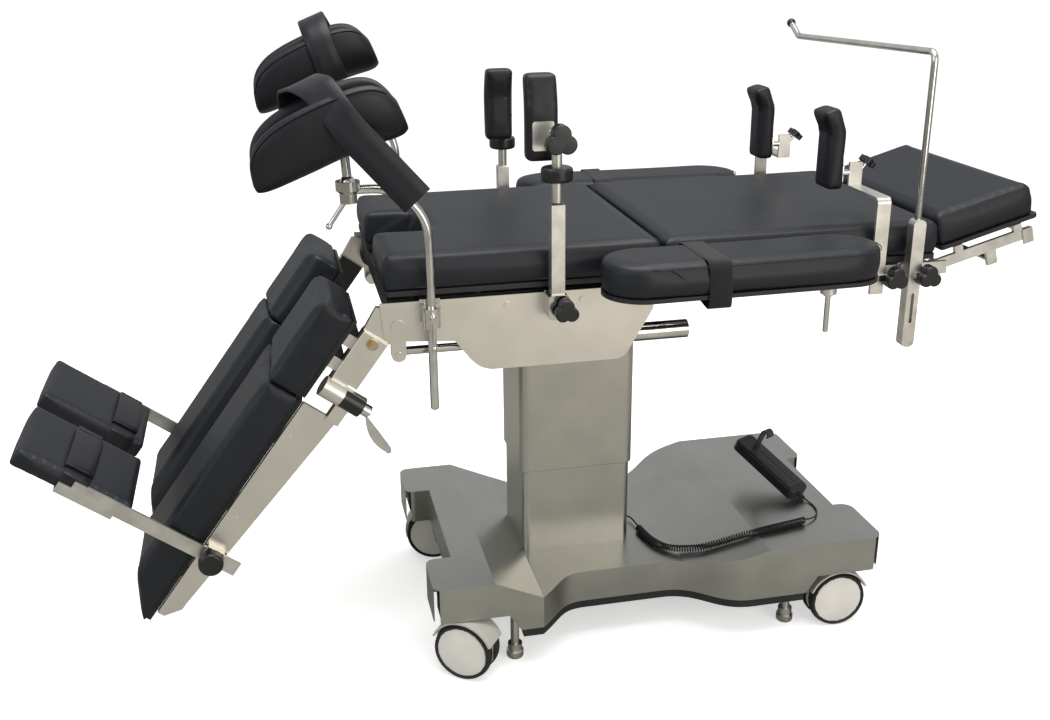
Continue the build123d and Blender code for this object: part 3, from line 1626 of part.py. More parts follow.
def crutch_clamp(x):
    """The near clamp of a knee crutch: a boss for the rod and a drop-shaped wing screw."""
    wing_y = -crutch_offset - crutch_boss_radius - knob_neck * 1.5
    wing_z = plate_top - clamp_drop + cup_radius
    with BuildPart() as clamp:
        add(plate_clamp(x, overrun))
        with BuildSketch(Plane.XY.offset(plate_top - clamp_drop)):
            with Locations((x, -crutch_offset)):
                Circle(crutch_boss_radius)
            with Locations((x, -top_half_width - air)):
                Rectangle(cup_radius, crutch_offset - top_half_width, align=(Align.CENTER, Align.MAX))
        extrude(amount=clamp_drop - overrun)
        with BuildSketch(Plane.XY.offset(plate_top - clamp_drop - overrun)):
            with Locations((x, -crutch_offset)):
                Circle(crutch_rod_radius + running_fit)
        extrude(amount=2 * clamp_drop, mode=Mode.SUBTRACT)
        with BuildSketch(side_view(-crutch_offset - crutch_boss_radius + sheet / 2)):
            with Locations((x, wing_z)):
                Circle(knob_neck)
        extrude(amount=knob_neck * 3)
        with BuildSketch(Plane.XY.offset(wing_z)):
            with Locations((x, wing_y)):
                Circle(knob_neck / 2)
        extrude(amount=-wing_drop)
        with Locations((x, wing_y, wing_z - wing_drop)):
            Sphere(knob_neck * 0.8)
    return clamp


def lateral_clamp(x, shift):
    """The near clamp of a lateral support, with its square socket, and the clamp's knob set off by shift."""
    bar_half = lateral_bar / 2 + air
    face = lateral_offset + bar_half + overrun
    with BuildPart() as clamp:
        add(plate_clamp(x, face - top_half_width))
        with BuildSketch(Plane.XY.offset(plate_top - clamp_drop - overrun)):
            with Locations((x, -lateral_offset)):
                Rectangle(2 * bar_half, 2 * bar_half)
        extrude(amount=2 * clamp_drop, mode=Mode.SUBTRACT)
    return clamp, knob_out(x + shift, plate_top - clamp_drop / 2, face + air, knob_radius)


near_clamps = [crutch_clamp(-crutch_x), *lateral_clamp(-lateral_x, knob_shift)]
far_clamps = [crutch_clamp(-far_crutch_x), *lateral_clamp(-far_lateral_x, -knob_shift)]
keep("rail_clamps", *near_clamps, *[mirrored(clamp) for clamp in far_clamps])


def rail_clamp(x, depth):
    """A near clamp on a side rail, with lips over and under the rail."""
    with BuildPart() as clamp:
        add(clamp_block(x, side_rail_top + clamp_lip, side_rail_top - side_rail_height - clamp_lip, depth))
        lips = ((side_rail_top + air, Align.MIN), (side_rail_top - side_rail_height - air, Align.MAX))
        for lip_z, align in lips:
            with BuildSketch(side_view(-rail_inside + clamp_lip)):
                with Locations((x, lip_z)):
                    Rectangle(clamp_width, clamp_lip - air, align=(Align.CENTER, align))
            extrude(amount=clamp_lip + side_rail_thickness + overrun)
    return clamp.part


# Arm boards: board and post turn in the bore of a clamp on the back section's side rail

arm_a = radians(armboard_yaw)


def arm_plane(z):
    """A level plane at the arm board's pivot, its X along the board."""
    origin = (armboard_pivot, -armboard_post_offset, z)
    return Plane(origin=origin, x_dir=(cos(arm_a), sin(arm_a), 0), z_dir=(0, 0, 1))


board_middle = (armboard_right - armboard_left) / 2 - armboard_pivot
board_span = armboard_left + armboard_right - armboard_width
across = armboard_post_offset - armboard_inside - armboard_width / 2
arm_plate_top = armboard_top - armboard_pad
with BuildPart() as near_armboard_clamp:
    add(rail_clamp(armboard_pivot, clamp_depth))
    with BuildSketch(Plane.XY.offset(arm_boss_bottom)):
        with Locations((armboard_pivot, -armboard_post_offset)):
            Circle(clamp_depth)
            Circle(armboard_post_radius + running_fit, mode=Mode.SUBTRACT)
    extrude(amount=arm_boss_top - arm_boss_bottom)
with BuildPart() as near_armboard_base:
    with BuildSketch(arm_plane(arm_plate_top - armboard_plate)):
        with Locations((board_middle, across)):
            SlotCenterToCenter(board_span, armboard_width - 2 * armboard_plate_inset)
    extrude(amount=armboard_plate)
    with BuildSketch(arm_plane(arm_boss_top + air)):
        Circle(armboard_hub)
    extrude(amount=arm_plate_top - armboard_plate - arm_boss_top - air)
    with BuildSketch(arm_plane(arm_boss_bottom - overrun)):
        Circle(armboard_post_radius)
    extrude(amount=arm_plate_top - arm_boss_bottom)
    with BuildSketch(arm_plane(arm_boss_bottom - overrun)):
        Circle(armboard_post_radius * 0.6)
    extrude(amount=-peg_length)
    fillet(near_armboard_base.faces().sort_by(Axis.Z)[0].edges(), armboard_post_radius / 3)
keep_pair("armboard_base", near_armboard_base)
with BuildPart() as near_armboard_pad:
    for pair in zip(layer_shares, layer_shares[1:]):
        for rise, draw in pair:
            with BuildSketch(arm_plane(arm_plate_top + rise * armboard_pad)):
                with Locations((board_middle, across)):
                    SlotCenterToCenter(board_span, armboard_width - draw * armboard_tuck)
        loft(ruled=True)
held_height = armboard_pad + armboard_plate
with BuildPart() as near_armboard_strap:
    level = arm_plane(arm_plate_top + armboard_pad - held_height / 2)
    strap_middle = level.from_local_coords((strap_at - armboard_pivot, across, 0))
    with BuildSketch(Plane(origin=strap_middle, x_dir=level.y_dir, z_dir=level.x_dir)):
        RectangleRounded(armboard_width + 2 * strap_out, held_height + 2 * strap_out, strap_corner)
        RectangleRounded(
            armboard_width + 2 * air, held_height + 2 * air, strap_corner - strap_out, mode=Mode.SUBTRACT
        )
    extrude(amount=strap_width / 2, both=True)
keep_pair("armboard_pad", near_armboard_pad, near_armboard_strap)
keep("back_frame", *back_frame, near_armboard_clamp, mirrored(near_armboard_clamp))


# Knee crutches


def crutch(x, rise):
    """A near knee crutch: its bent rod with the ball socket, and its padded cradle."""
    level = crutch_rod_level + rise
    socket_x = -x - crutch_reach
    with BuildPart() as rod:
        with BuildSketch(Plane.XY.offset(crutch_rod_bottom + rise)):
            with Locations((-x, -crutch_offset)):
                Circle(crutch_rod_radius)
        with BuildLine(side_view(-crutch_offset)) as path:
            Line((-x, crutch_rod_bottom + rise), (-x, level - crutch_bend))
            RadiusArc((-x, level - crutch_bend), (-x - crutch_bend, level), -crutch_bend)
            Line((-x - crutch_bend, level), (socket_x, level))
        sweep(path=path.line)
        fillet(rod.faces().sort_by(Axis.Z)[0].edges(), crutch_rod_radius * 0.6)
        with BuildSketch(side_view(-crutch_offset)):
            with BuildLine():
                Polyline(
                    (socket_x, level - cup_drop),
                    (socket_x + cup_neck, level - cup_drop),
                    (socket_x + cup_neck, level - overrun),
                    (socket_x + cup_radius, level),
                    (socket_x + cup_radius, level + cup_height),
                    (socket_x, level + cup_height),
                    close=True,
                )
            make_face()
        revolve(axis=Axis((socket_x, -crutch_offset, level), (0, 0, 1)))
        with Locations((socket_x, -crutch_offset, level + ball_height)):
            Sphere(ball_radius + running_fit, mode=Mode.SUBTRACT)
        with BuildSketch(Plane.XY.offset(level + ball_height)):
            with Locations((socket_x, -crutch_offset)):
                Circle(ball_radius + running_fit)
        extrude(amount=cup_height, mode=Mode.SUBTRACT)
        lever_root = Vector(socket_x, -crutch_offset, level - cup_drop / 2)
        lever_way = Vector(-cos(radians(lever_slope)), 0, -sin(radians(lever_slope)))
        with BuildSketch(Plane(origin=lever_root, x_dir=(0, 1, 0), z_dir=lever_way)):
            Circle(knob_neck * 0.7)
        extrude(amount=crutch_lever)
        with Locations(lever_root + lever_way * crutch_lever):
            Sphere(knob_neck)
    t = radians(cradle_tilt)
    along = Vector(cos(t), 0, sin(t))
    up = Vector(-sin(t), 0, cos(t))
    centre = Vector(socket_x - cradle_back, -crutch_offset, level + cradle_rise)
    section = Plane(origin=centre, x_dir=(0, 1, 0), z_dir=along)
    profile = Plane(origin=centre, x_dir=along, z_dir=(0, -1, 0))
    inner = cradle_half_width - cradle_wall
    half = cradle_length / 2 + overrun
    with BuildPart() as cradle:
        with BuildSketch(section):
            with BuildLine():
                ThreePointArc((-cradle_half_width, 0), (0, -cradle_depth), (cradle_half_width, 0))
                Line((cradle_half_width, 0), (cradle_half_width, cradle_mid))
                Line((cradle_half_width, cradle_mid), (inner, cradle_mid))
                Line((inner, cradle_mid), (inner, 0))
                ThreePointArc((inner, 0), (0, -cradle_depth + cradle_wall), (-inner, 0))
                Line((-inner, 0), (-inner, cradle_mid))
                Line((-inner, cradle_mid), (-cradle_half_width, cradle_mid))
                Line((-cradle_half_width, cradle_mid), (-cradle_half_width, 0))
            make_face()
        extrude(amount=cradle_length / 2, both=True)
        with BuildSketch(profile):
            with BuildLine():
                ThreePointArc((-half, 0), (0, cradle_mid - cradle_trim), (half, 0))
                Polyline((half, 0), (half, cradle_mid + overrun), (-half, cradle_mid + overrun), (-half, 0))
            make_face()
        extrude(amount=2 * cradle_half_width, both=True, mode=Mode.SUBTRACT)
        with BuildSketch(profile):
            with BuildLine():
                ThreePointArc((-half, -cradle_heel), (0, -cradle_depth - cradle_trim), (half, -cradle_heel))
                Polyline(
                    (half, -cradle_heel),
                    (half, -2 * cradle_depth),
                    (-half, -2 * cradle_depth),
                    (-half, -cradle_heel),
                )
            make_face()
        extrude(amount=2 * cradle_half_width, both=True, mode=Mode.SUBTRACT)
        with Locations((socket_x, -crutch_offset, level + ball_height)):
            Sphere(ball_radius)
        foot = centre - up * (cradle_depth - cradle_wall / 2)
        ball = Vector(socket_x, -crutch_offset, level + ball_height)
        with BuildSketch(Plane(origin=ball, x_dir=(0, 1, 0), z_dir=foot - ball)):
            Circle(crutch_rod_radius)
        extrude(amount=(foot - ball).length)
    with BuildPart() as strap:
        with BuildSketch(section):
            for grow, mode in ((cradle_strap_out, Mode.ADD), (air, Mode.SUBTRACT)):
                w = cradle_half_width + grow
                high = cradle_mid - overrun
                with BuildLine():
                    ThreePointArc((-w, 0), (0, -cradle_depth - grow), (w, 0))
                    Line((w, 0), (w, high))
                    ThreePointArc((w, high), (0, cradle_mid + cradle_wall / 2 + grow), (-w, high))
                    Line((-w, high), (-w, 0))
                make_face(mode=mode)
        extrude(amount=cradle_strap / 2, both=True)
        with BuildSketch(Plane(origin=ball, x_dir=(0, 1, 0), z_dir=foot - ball)):
            Circle(crutch_rod_radius + overrun)
        extrude(amount=cradle_depth + overrun, mode=Mode.SUBTRACT)
    return rod, cradle, strap


rod, cradle, strap = crutch(crutch_x, 0)
keep("near_crutch_rod", rod)
keep("near_crutch_cradle", cradle, strap)
rod, cradle, strap = crutch(far_crutch_x, far_crutch_rise)
keep("far_crutch_rod", mirrored(rod))
keep("far_crutch_cradle", mirrored(cradle), mirrored(strap))


# Lateral supports


def lateral(x, drop):
    """A near lateral support: its post with the collar, and the pad that turns on it."""
    top = lateral_bar_top - drop
    collar_bottom = top + lateral_rod_length / 3
    head = top + lateral_rod_length
    with BuildPart() as post:
        with BuildSketch(Plane.XY.offset(lateral_bar_bottom)):
            with Locations((-x, -lateral_offset)):
                Rectangle(lateral_bar, lateral_bar)
        extrude(amount=top - lateral_bar_bottom)
        chamfer(post.faces().sort_by(Axis.Z)[-1].edges(), lateral_bar / 8)
        with BuildSketch(Plane.XY.offset(top)):
            with Locations((-x, -lateral_offset)):
                Circle(lateral_rod_radius)
        extrude(amount=lateral_rod_length + lateral_head / 2)
    with BuildPart() as collar:
        with BuildSketch(Plane.XY.offset(collar_bottom)):
            with Locations((-x, -lateral_offset)):
                Circle(lateral_collar_radius)
                Circle(lateral_rod_radius, mode=Mode.SUBTRACT)
        extrude(amount=lateral_collar_height)
        fillet(collar.edges().filter_by(GeomType.CIRCLE).group_by(SortBy.RADIUS)[-1], knob_neck)
    pad_middle = -x - lateral_shift
    pad_bottom = head - lateral_pad_below
    with BuildPart() as arm:
        with BuildSketch(Plane.XY.offset(head - lateral_head / 2)):
            with Locations((-x, -lateral_offset)):
                Circle(lateral_rod_radius + overrun)
        extrude(amount=lateral_head + air)
        with BuildSketch(side_view(-lateral_offset)):
            with Locations((-x, head)):
                Circle(lateral_rod_radius)
        extrude(amount=-(lateral_offset - lateral_pad_outside))
        with BuildSketch(side_view(-lateral_pad_outside - pin_head)):
            with Locations((pad_middle, head)):
                RectangleRounded(lateral_plate, lateral_plate * 1.3, overrun)
        extrude(amount=-pin_head)
        with BuildSketch(Plane.XY.offset(head - lateral_head)):
            with Locations((-x, -lateral_offset)):
                Circle(lateral_rod_radius + running_fit)
        extrude(amount=1.5 * lateral_head, mode=Mode.SUBTRACT)
    knob = knob_out(-x, head, lateral_offset + lateral_rod_radius + overrun - sheet / 2, lateral_collar_radius)
    inside = lateral_pad_outside - lateral_pad_thickness
    bend_z = pad_bottom + lateral_pad_height * lateral_bend_share
    with BuildPart() as pad:
        with BuildSketch(Plane.YZ.offset(pad_middle)):
            with BuildLine():
                Polyline(
                    (-lateral_pad_outside, pad_bottom),
                    (-inside, pad_bottom),
                    (-inside, bend_z),
                    (-inside + lateral_lean, pad_bottom + lateral_pad_height),
                    (-lateral_pad_outside + lateral_lean, pad_bottom + lateral_pad_height),
                    (-lateral_pad_outside, bend_z),
                    close=True,
                )
            make_face()
        extrude(amount=lateral_pad_width / 2, both=True)
        fillet(pad.edges(), overrun)
    return post, collar, arm, knob, pad


post, collar, arm, knob, pad = lateral(lateral_x, 0)
keep("near_lateral_post", post, collar)
keep("near_lateral_pad", arm, knob, pad)
post, collar, arm, knob, pad = lateral(far_lateral_x, far_lateral_drop)
keep("far_lateral_post", mirrored(post), mirrored(collar))
keep("far_lateral_pad", mirrored(arm), mirrored(knob), mirrored(pad))


# Shoulder supports

bar_start = top_half_width + clamp_depth
bar_outside = bar_start + shoulder_bar_thickness
half_bar = shoulder_bar_thickness / 2
knob_level = side_rail_top - side_rail_height / 2
with BuildPart() as near_shoulder_bar:
    with BuildSketch(Plane.YZ.offset(shoulder_x)) as bent:
        with Locations((-bar_start - half_bar, shoulder_bar_bottom)):
            Rectangle(
                shoulder_bar_thickness, shoulder_bar_top - shoulder_bar_bottom, align=(Align.CENTER, Align.MIN)
            )
        with Locations((-bar_outside, shoulder_bar_top)):
            Rectangle(
                bar_outside - shoulder_offset + half_bar, shoulder_bar_thickness, align=(Align.MIN, Align.MAX)
            )
        with Locations((-shoulder_offset, shoulder_bar_top - shoulder_bar_thickness)):
            Rectangle(shoulder_bar_thickness, shoulder_upright, align=(Align.CENTER, Align.MIN))
        outer_bend = (-bar_outside, shoulder_bar_top)
        inner_bend = (-bar_start, shoulder_bar_top - shoulder_bar_thickness)
        fillet(bent.vertices().sort_by_distance(outer_bend)[0], 2 * shoulder_bar_thickness)
        fillet(bent.vertices().sort_by_distance(inner_bend)[0], shoulder_bar_thickness)
    extrude(amount=shoulder_bar_width / 2, both=True)
    add(rail_clamp(shoulder_x, clamp_depth))
knob_along = shoulder_x + shoulder_bar_width / 2 + knob_radius * 0.7
near_shoulder_knob = knob_out(knob_along, knob_level - overrun, bar_outside, knob_radius)
with BuildPart() as near_shoulder_neck:
    with BuildSketch(side_view(-bar_outside)):
        with Locations((shoulder_x, knob_level - overrun)):
            Rectangle(2 * knob_radius, knob_neck * 2, align=(Align.MIN, Align.CENTER))
    extrude(amount=knob_neck)
keep_pair("shoulder_bar", near_shoulder_bar, near_shoulder_neck, near_shoulder_knob)
stub_z = shoulder_bar_top + shoulder_stub
pad_back = shoulder_x - shoulder_pad_back
pad_low = shoulder_bar_top - shoulder_bar_thickness / 3
with BuildPart() as near_shoulder_mount:
    with BuildSketch(Plane.YZ.offset(shoulder_x - shoulder_bar_width / 2)):
        with Locations((-shoulder_offset, stub_z)):
            Circle(knob_neck)
    extrude(amount=-(shoulder_pad_back - shoulder_bar_width / 2))
    with BuildSketch(Plane.YZ.offset(pad_back)):
        with Locations((-shoulder_offset, stub_z)):
            RectangleRounded(shoulder_plate, shoulder_plate, overrun)
    extrude(amount=pin_head)
with BuildPart() as near_shoulder_pad:
    bend = pad_low + shoulder_pad_height * shoulder_bend_share
    top = pad_low + shoulder_pad_height
    with BuildSketch(side_view(-shoulder_offset)):
        with BuildLine():
            Polyline(
                (pad_back, pad_low),
                (pad_back, bend),
                (pad_back - shoulder_lean, top),
                (pad_back - shoulder_lean - shoulder_pad_thickness, top - 2 * overrun),
                (pad_back - shoulder_pad_thickness, bend),
                (pad_back - shoulder_pad_thickness, pad_low),
                close=True,
            )
        make_face()
    extrude(amount=shoulder_pad_width / 2, both=True)
    fillet(near_shoulder_pad.edges(), overrun)
keep_pair("shoulder_pad", near_shoulder_mount, near_shoulder_pad)


# Anaesthesia screen

screen_offset = top_half_width + clamp_depth + screen_rod_radius + running_fit + overrun
with BuildPart() as screen_post:
    add(rail_clamp(screen_x, clamp_depth))
    with BuildSketch(side_view(-top_half_width - clamp_depth - air)):
        with Locations((screen_x, (screen_post_bottom + screen_post_top) / 2)):
            RectangleRounded(screen_bar_width, screen_post_top - screen_post_bottom, screen_bar_width * 0.4)
    extrude(amount=2 * (screen_offset - top_half_width - clamp_depth))
    with BuildSketch(Plane.XY.offset(screen_post_top - screen_socket)):
        with Locations((screen_x, -screen_offset)):
            Circle(screen_rod_radius + running_fit)
    extrude(amount=screen_socket, mode=Mode.SUBTRACT)
    with BuildSketch(side_view(-top_half_width - clamp_depth)):
        with Locations((screen_x, side_rail_top - side_rail_height - lug_drop)):
            SlotCenterToCenter(lug_drop, screen_rod_radius, rotation=90)
    extrude(amount=4 * screen_rod_radius, mode=Mode.SUBTRACT)
screen_face = 2 * screen_offset - top_half_width - clamp_depth - air
screen_knob = knob_out(screen_x + knob_radius * 0.9, knob_level, screen_face, knob_radius)
with BuildPart() as screen_neck:
    with BuildSketch(side_view(-screen_face)):
        with Locations((screen_x, knob_level)):
            Rectangle(1.5 * knob_radius, knob_neck * 2, align=(Align.MIN, Align.CENTER))
    extrude(amount=knob_neck)
keep("screen_post", screen_post, screen_neck, screen_knob)
rod_foot = screen_post_top - screen_socket + air
far_bend_y = screen_span - screen_offset
far_bend_z = screen_level - 2 * screen_rod_radius
with BuildPart() as screen_rod:
    with BuildSketch(Plane.XY.offset(rod_foot)):
        with Locations((screen_x, -screen_offset)):
            Circle(screen_rod_radius)
    with BuildLine(Plane.YZ.offset(screen_x)) as path:
        FilletPolyline(
            (-screen_offset, rod_foot),
            (-screen_offset, screen_level + screen_rod_radius),
            (far_bend_y, far_bend_z),
            (far_bend_y + screen_tip_run, far_bend_z + screen_tip_rise),
            radius=(screen_bend, screen_bend),
        )
    sweep(path=path.line)
    with Locations((screen_x, far_bend_y + screen_tip_run, far_bend_z + screen_tip_rise)):
        Sphere(screen_ball_radius)
keep("screen_rod", screen_rod)


# Hand control, leaning on its hook on the deck, and its curly cord

slope = radians(handset_slope)
turned = radians(handset_turn)
handset_up = Vector(cos(slope) * cos(turned), cos(slope) * sin(turned), sin(slope))
handset_across = Vector(sin(turned), -cos(turned), 0)
handset_face = handset_across.cross(handset_up)
handset_low = Vector(handset_x, handset_y, base_top + air + handset_face.Z * handset_thickness / 2)


def handset_point(along, out):
    """A place on the control's middle line, measured from its lower end and out of its back."""
    return handset_low + handset_up * along + handset_face * out


def handset_plane(out):
    """A plane level with the control's face: its X across the control, its Y up along it."""
    return Plane(origin=handset_point(0, out), x_dir=handset_across, z_dir=handset_face)


half_thick = handset_thickness / 2
hook_reach = hook_turn + hook_thickness / 2
hook_drop = (base_top + air + hook_reach - handset_low.Z - hook_along * handset_up.Z) / handset_face.Z
with BuildPart() as handset:
    with BuildSketch(handset_plane(-half_thick)):
        with Locations((0, handset_length / 2)):
            RectangleRounded(handset_width, handset_length, handset_corner)
    extrude(amount=handset_thickness)
    fillet(handset.edges().filter_by(handset_plane(0)), handset_edge)
    with BuildSketch(handset_plane(half_thick)):
        with Locations((0, handset_length * keypad_middle_share)):
            RectangleRounded(
                handset_width * keypad_width_share, handset_length * keypad_height_share, handset_edge
            )
    extrude(amount=key_rise)
    with BuildSketch(handset_plane(half_thick + key_rise)):
        with Locations((0, handset_length * keypad_middle_share)):
            with GridLocations(key_pitch, key_pitch, 2, key_rows):
                RectangleRounded(key_size, key_size, key_rise)
    extrude(amount=key_rise)
    with BuildSketch(Plane(origin=handset_point(0, 0), x_dir=handset_across, z_dir=-handset_up)):
        Circle(gland_radius)
    extrude(amount=gland_length, taper=gland_taper)
with BuildPart() as handset_hook:
    with BuildSketch(Plane(origin=handset_low, x_dir=handset_up, z_dir=-handset_across)):
        with BuildLine() as bend:
            Line((hook_along, -half_thick), (hook_along, hook_drop))
            CenterArc((hook_along - hook_turn, hook_drop), hook_turn, 0, -hook_sweep)
        trace(line_width=hook_thickness)
    extrude(amount=hook_width / 2, both=True)
keep("handset", handset, handset_hook)

# The lead runs from the control's gland to the curls, and the tail from them to the column's gland
column_gland = column_centre + lower_half_length
with BuildPart() as cord_gland:
    with BuildSketch(Plane.YZ.offset(column_gland)):
        with Locations((gland_y, deck_top + gland_height)):
            Circle(gland_radius)
    extrude(amount=cord_gland_length)
keep("column_lower_cover", column_lower_cover, cord_gland)
lead_start = handset_point(-gland_length, 0)
tail_end = Vector(column_gland + cord_gland_length, gland_y, deck_top + gland_height)


def bend_radii(points):
    """The radius at each corner of a route: a share of the shorter run over the tangent of half the turn."""
    radii = []
    for before, corner, after in zip(points, points[1:], points[2:]):
        run_in = corner - before
        run_out = after - corner
        half_turn = radians(run_in.get_angle(run_out) / 2)
        radii.append(bend_share * min(run_in.length, run_out.length) / tan(half_turn))
    return radii


def smooth(points):
    """Straight runs joined by tangent arcs, as a list of edges from the first point to the last."""
    radii = bend_radii(points)
    print("cord bend radii", [round(radius, 1) for radius in radii])
    line = FilletPolyline(*points, radius=radii)
    return line.edges()


def biarc(start, heading, end, end_heading):
    """Two arcs that leave start along heading and reach end along end_heading."""
    span = end - start
    both = heading + end_heading
    turn = 2 * (1 - heading.dot(end_heading))
    reach = (-span.dot(both) + sqrt(span.dot(both) ** 2 + turn * span.dot(span))) / turn
    middle = (start + heading * reach + end - end_heading * reach) / 2
    return [TangentArc(start, middle, tangent=heading), TangentArc(end, middle, tangent=-end_heading)]


curl_line = Spline(*[Vector(*point) for point in curl_route])
curl_pitch = curl_line.length / curl_count


def curl_place(turns):
    """The place and heading of the cord after so many turns of the curl."""
    share = turns / curl_count
    ahead = (curl_line % share).normalized()
    side = ahead.cross(Vector(0, 0, 1)).normalized()
    top = side.cross(ahead)
    angle = 2 * pi * turns
    out = side * cos(angle) + top * sin(angle)
    round_it = top * cos(angle) - side * sin(angle)
    place = curl_line @ share + out * curl_radius
    return place, (ahead * (curl_pitch / (2 * pi)) + round_it * curl_radius).normalized()


lead = [lead_start] + [Vector(*point) for point in lead_route]
tail = [Vector(*point) for point in tail_route] + [tail_end]
cord_line = list(smooth(lead))
cord_line += biarc(lead[-1], (lead[-1] - lead[-2]).normalized(), *curl_place(0))
for half_turn in range(2 * curl_count):
    cord_line += biarc(*curl_place(half_turn / 2), *curl_place((half_turn + 1) / 2))
cord_line += biarc(*curl_place(curl_count), tail[0], (tail[1] - tail[0]).normalized())
cord_line += list(smooth(tail))
cord_path = Wire(cord_line)
with BuildPart() as handset_cord:
    with BuildSketch(Plane(origin=lead_start, z_dir=-handset_up)):
        Circle(cord_radius)
    sweep(path=cord_path)
keep("handset_cord", handset_cord)

# The least gap between one turn of the curls and the next, measured on points an eighth turn apart
curl_points = [curl_place(step / 8)[0] for step in range(8 * curl_count)]
least = min(
    (curl_points[step] - curl_points[later]).length
    for step in range(len(curl_points))
    for later in range(step + 4, min(step + 20, len(curl_points)))
)
print("curly cord: length", round(cord_path.length), "least gap between turns", round(least - 2 * cord_radius, 2))
print("cord volume", round(handset_cord.part.volume), "against", round(pi * cord_radius**2 * cord_path.length))

# The whole is set on the floor, centred under its own box, which the cord has no part in
boxes = [piece.bounding_box() for name, piece in pieces.items() if name != "handset_cord"]
middle_x = (min(box.min.X for box in boxes) + max(box.max.X for box in boxes)) / 2
middle_y = (min(box.min.Y for box in boxes) + max(box.max.Y for box in boxes)) / 2
floor_z = min(box.min.Z for box in boxes)
shift = Vector(-middle_x, -middle_y, -floor_z)

os.makedirs("parts", exist_ok=True)
for name, piece in pieces.items():
    placed = piece.moved(Location(shift))
    placed.label = name
    export_step(placed, f"parts/{name}.step")
print("pieces", len(pieces), "shift", shift)
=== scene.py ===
# %% [markdown]
# # An operating table, dressed from its CAD frame
# The frame holds every rigid piece at its real size. This file adds what the frame leaves plain: the
# covers of the foam pads, the straps, the curly cord, small fasteners, and a material for every surface.
# Lengths are metres, +Z is up, +X runs towards the head end and -Y is the side nearest the camera.

# %% Load the frame
import bpy
import bmesh
import math
from mathutils import Matrix, Vector


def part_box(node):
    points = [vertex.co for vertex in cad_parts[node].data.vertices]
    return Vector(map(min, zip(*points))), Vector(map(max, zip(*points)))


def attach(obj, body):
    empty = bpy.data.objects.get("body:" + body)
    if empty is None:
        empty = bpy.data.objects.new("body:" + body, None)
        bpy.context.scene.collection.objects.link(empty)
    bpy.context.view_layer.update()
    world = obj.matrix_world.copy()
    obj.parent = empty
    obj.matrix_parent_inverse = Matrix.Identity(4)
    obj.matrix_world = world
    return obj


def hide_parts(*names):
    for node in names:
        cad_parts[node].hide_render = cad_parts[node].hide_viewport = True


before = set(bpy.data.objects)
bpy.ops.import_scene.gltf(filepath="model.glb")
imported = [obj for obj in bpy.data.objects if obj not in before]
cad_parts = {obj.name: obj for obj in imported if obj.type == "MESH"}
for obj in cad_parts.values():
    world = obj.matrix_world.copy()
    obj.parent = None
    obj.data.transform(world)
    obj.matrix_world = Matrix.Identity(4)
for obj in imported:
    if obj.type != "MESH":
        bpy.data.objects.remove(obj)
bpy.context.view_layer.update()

MM = 0.001
scene = bpy.context.scene

# %% [markdown]
# ## Where things are
# Places were measured from a point under the middle of the seat section, and the frame's origin lies
# elsewhere along the table, so one offset carries a place over. A leg section has a tilted frame of
# its own.

# %% Places
OFFSET_X = 68.0316 * MM
HINGE = Vector((-369 * MM + OFFSET_X, 0, 765 * MM))
LEG_ANGLE = math.radians(53)
ALONG_LEG = Vector((-math.cos(LEG_ANGLE), 0, -math.sin(LEG_ANGLE)))
OUT_OF_LEG = Vector((-math.sin(LEG_ANGLE), 0, math.cos(LEG_ANGLE)))
SIDES = {"near": -1, "far": 1}


def at(x, y, z):
    """A place measured in millimetres: along the table, across it, and up from the floor."""
    return Vector((x * MM + OFFSET_X, y * MM, z * MM))


def on_leg(along, y, out):
    """A place on a leg section: along it from the hinge, across, and out of its padded side, in mm."""
    return HINGE + ALONG_LEG * (along * MM) + OUT_OF_LEG * (out * MM) + Vector((0, y * MM, 0))


print("hinge", tuple(round(v, 4) for v in HINGE))

# %% [markdown]
# ## Camera
# The camera was fitted to the edges of the top, the legs and the base in the photograph: a slightly long
# lens, standing off the leg end's near corner and looking a little down. No shift is needed.

# %% Camera


def linked(name, data):
    """A new object in the scene that holds a camera, a light, a mesh or a curve."""
    made = bpy.data.objects.new(name, data)
    scene.collection.objects.link(made)
    return made


FOCAL_PIXELS = 1183.449
IMAGE_WIDTH = 1050
SENSOR = 36.0
CAMERA_PLACE = (-580.2, -2323.8, 1453.3)
YAW, PITCH, ROLL = math.radians(12.328), math.radians(20.218), math.radians(-0.505)

camera_data = bpy.data.cameras.new("camera")
camera_data.sensor_width = SENSOR
camera_data.lens = SENSOR * FOCAL_PIXELS / IMAGE_WIDTH
camera_data.clip_start = 0.05
camera = linked("camera", camera_data)
yawed = Matrix.Rotation(-YAW, 4, "Z")
pitched = Matrix.Rotation(math.pi / 2 - PITCH, 4, "X")
rolled = Matrix.Rotation(ROLL, 4, "Z")
turn = yawed @ pitched @ rolled
camera.matrix_world = Matrix.Translation(at(*CAMERA_PLACE)) @ turn
scene.camera = camera
print("lens", round(camera_data.lens, 2))

# %% [markdown]
# ## Light and floor
# The photograph is cut out on white, lit by ceiling panels of a bright room. A pale floor, a pale world
# and three large soft lights give the same even light with soft highlights on the steel.

# %% Light and floor


def srgb(hex_colour):
    """A hex colour as linear red, green, blue and alpha."""
    values = [int(hex_colour[i : i + 2], 16) / 255 for i in (1, 3, 5)]
    linear = [v / 12.92 if v <= 0.04045 else ((v + 0.055) / 1.055) ** 2.4 for v in values]
    return (*linear, 1.0)


def area_light(name, place, aim, size, power, colour):
    """A square soft light at a place, aimed at a point."""
    light = bpy.data.lights.new(name, "AREA")
    light.shape = "SQUARE"
    light.size = size
    light.energy = power
    light.color = srgb(colour)[:3]
    holder = linked(name, light)
    holder.location = place
    holder.rotation_euler = (Vector(aim) - Vector(place)).to_track_quat("-Z", "Y").to_euler()


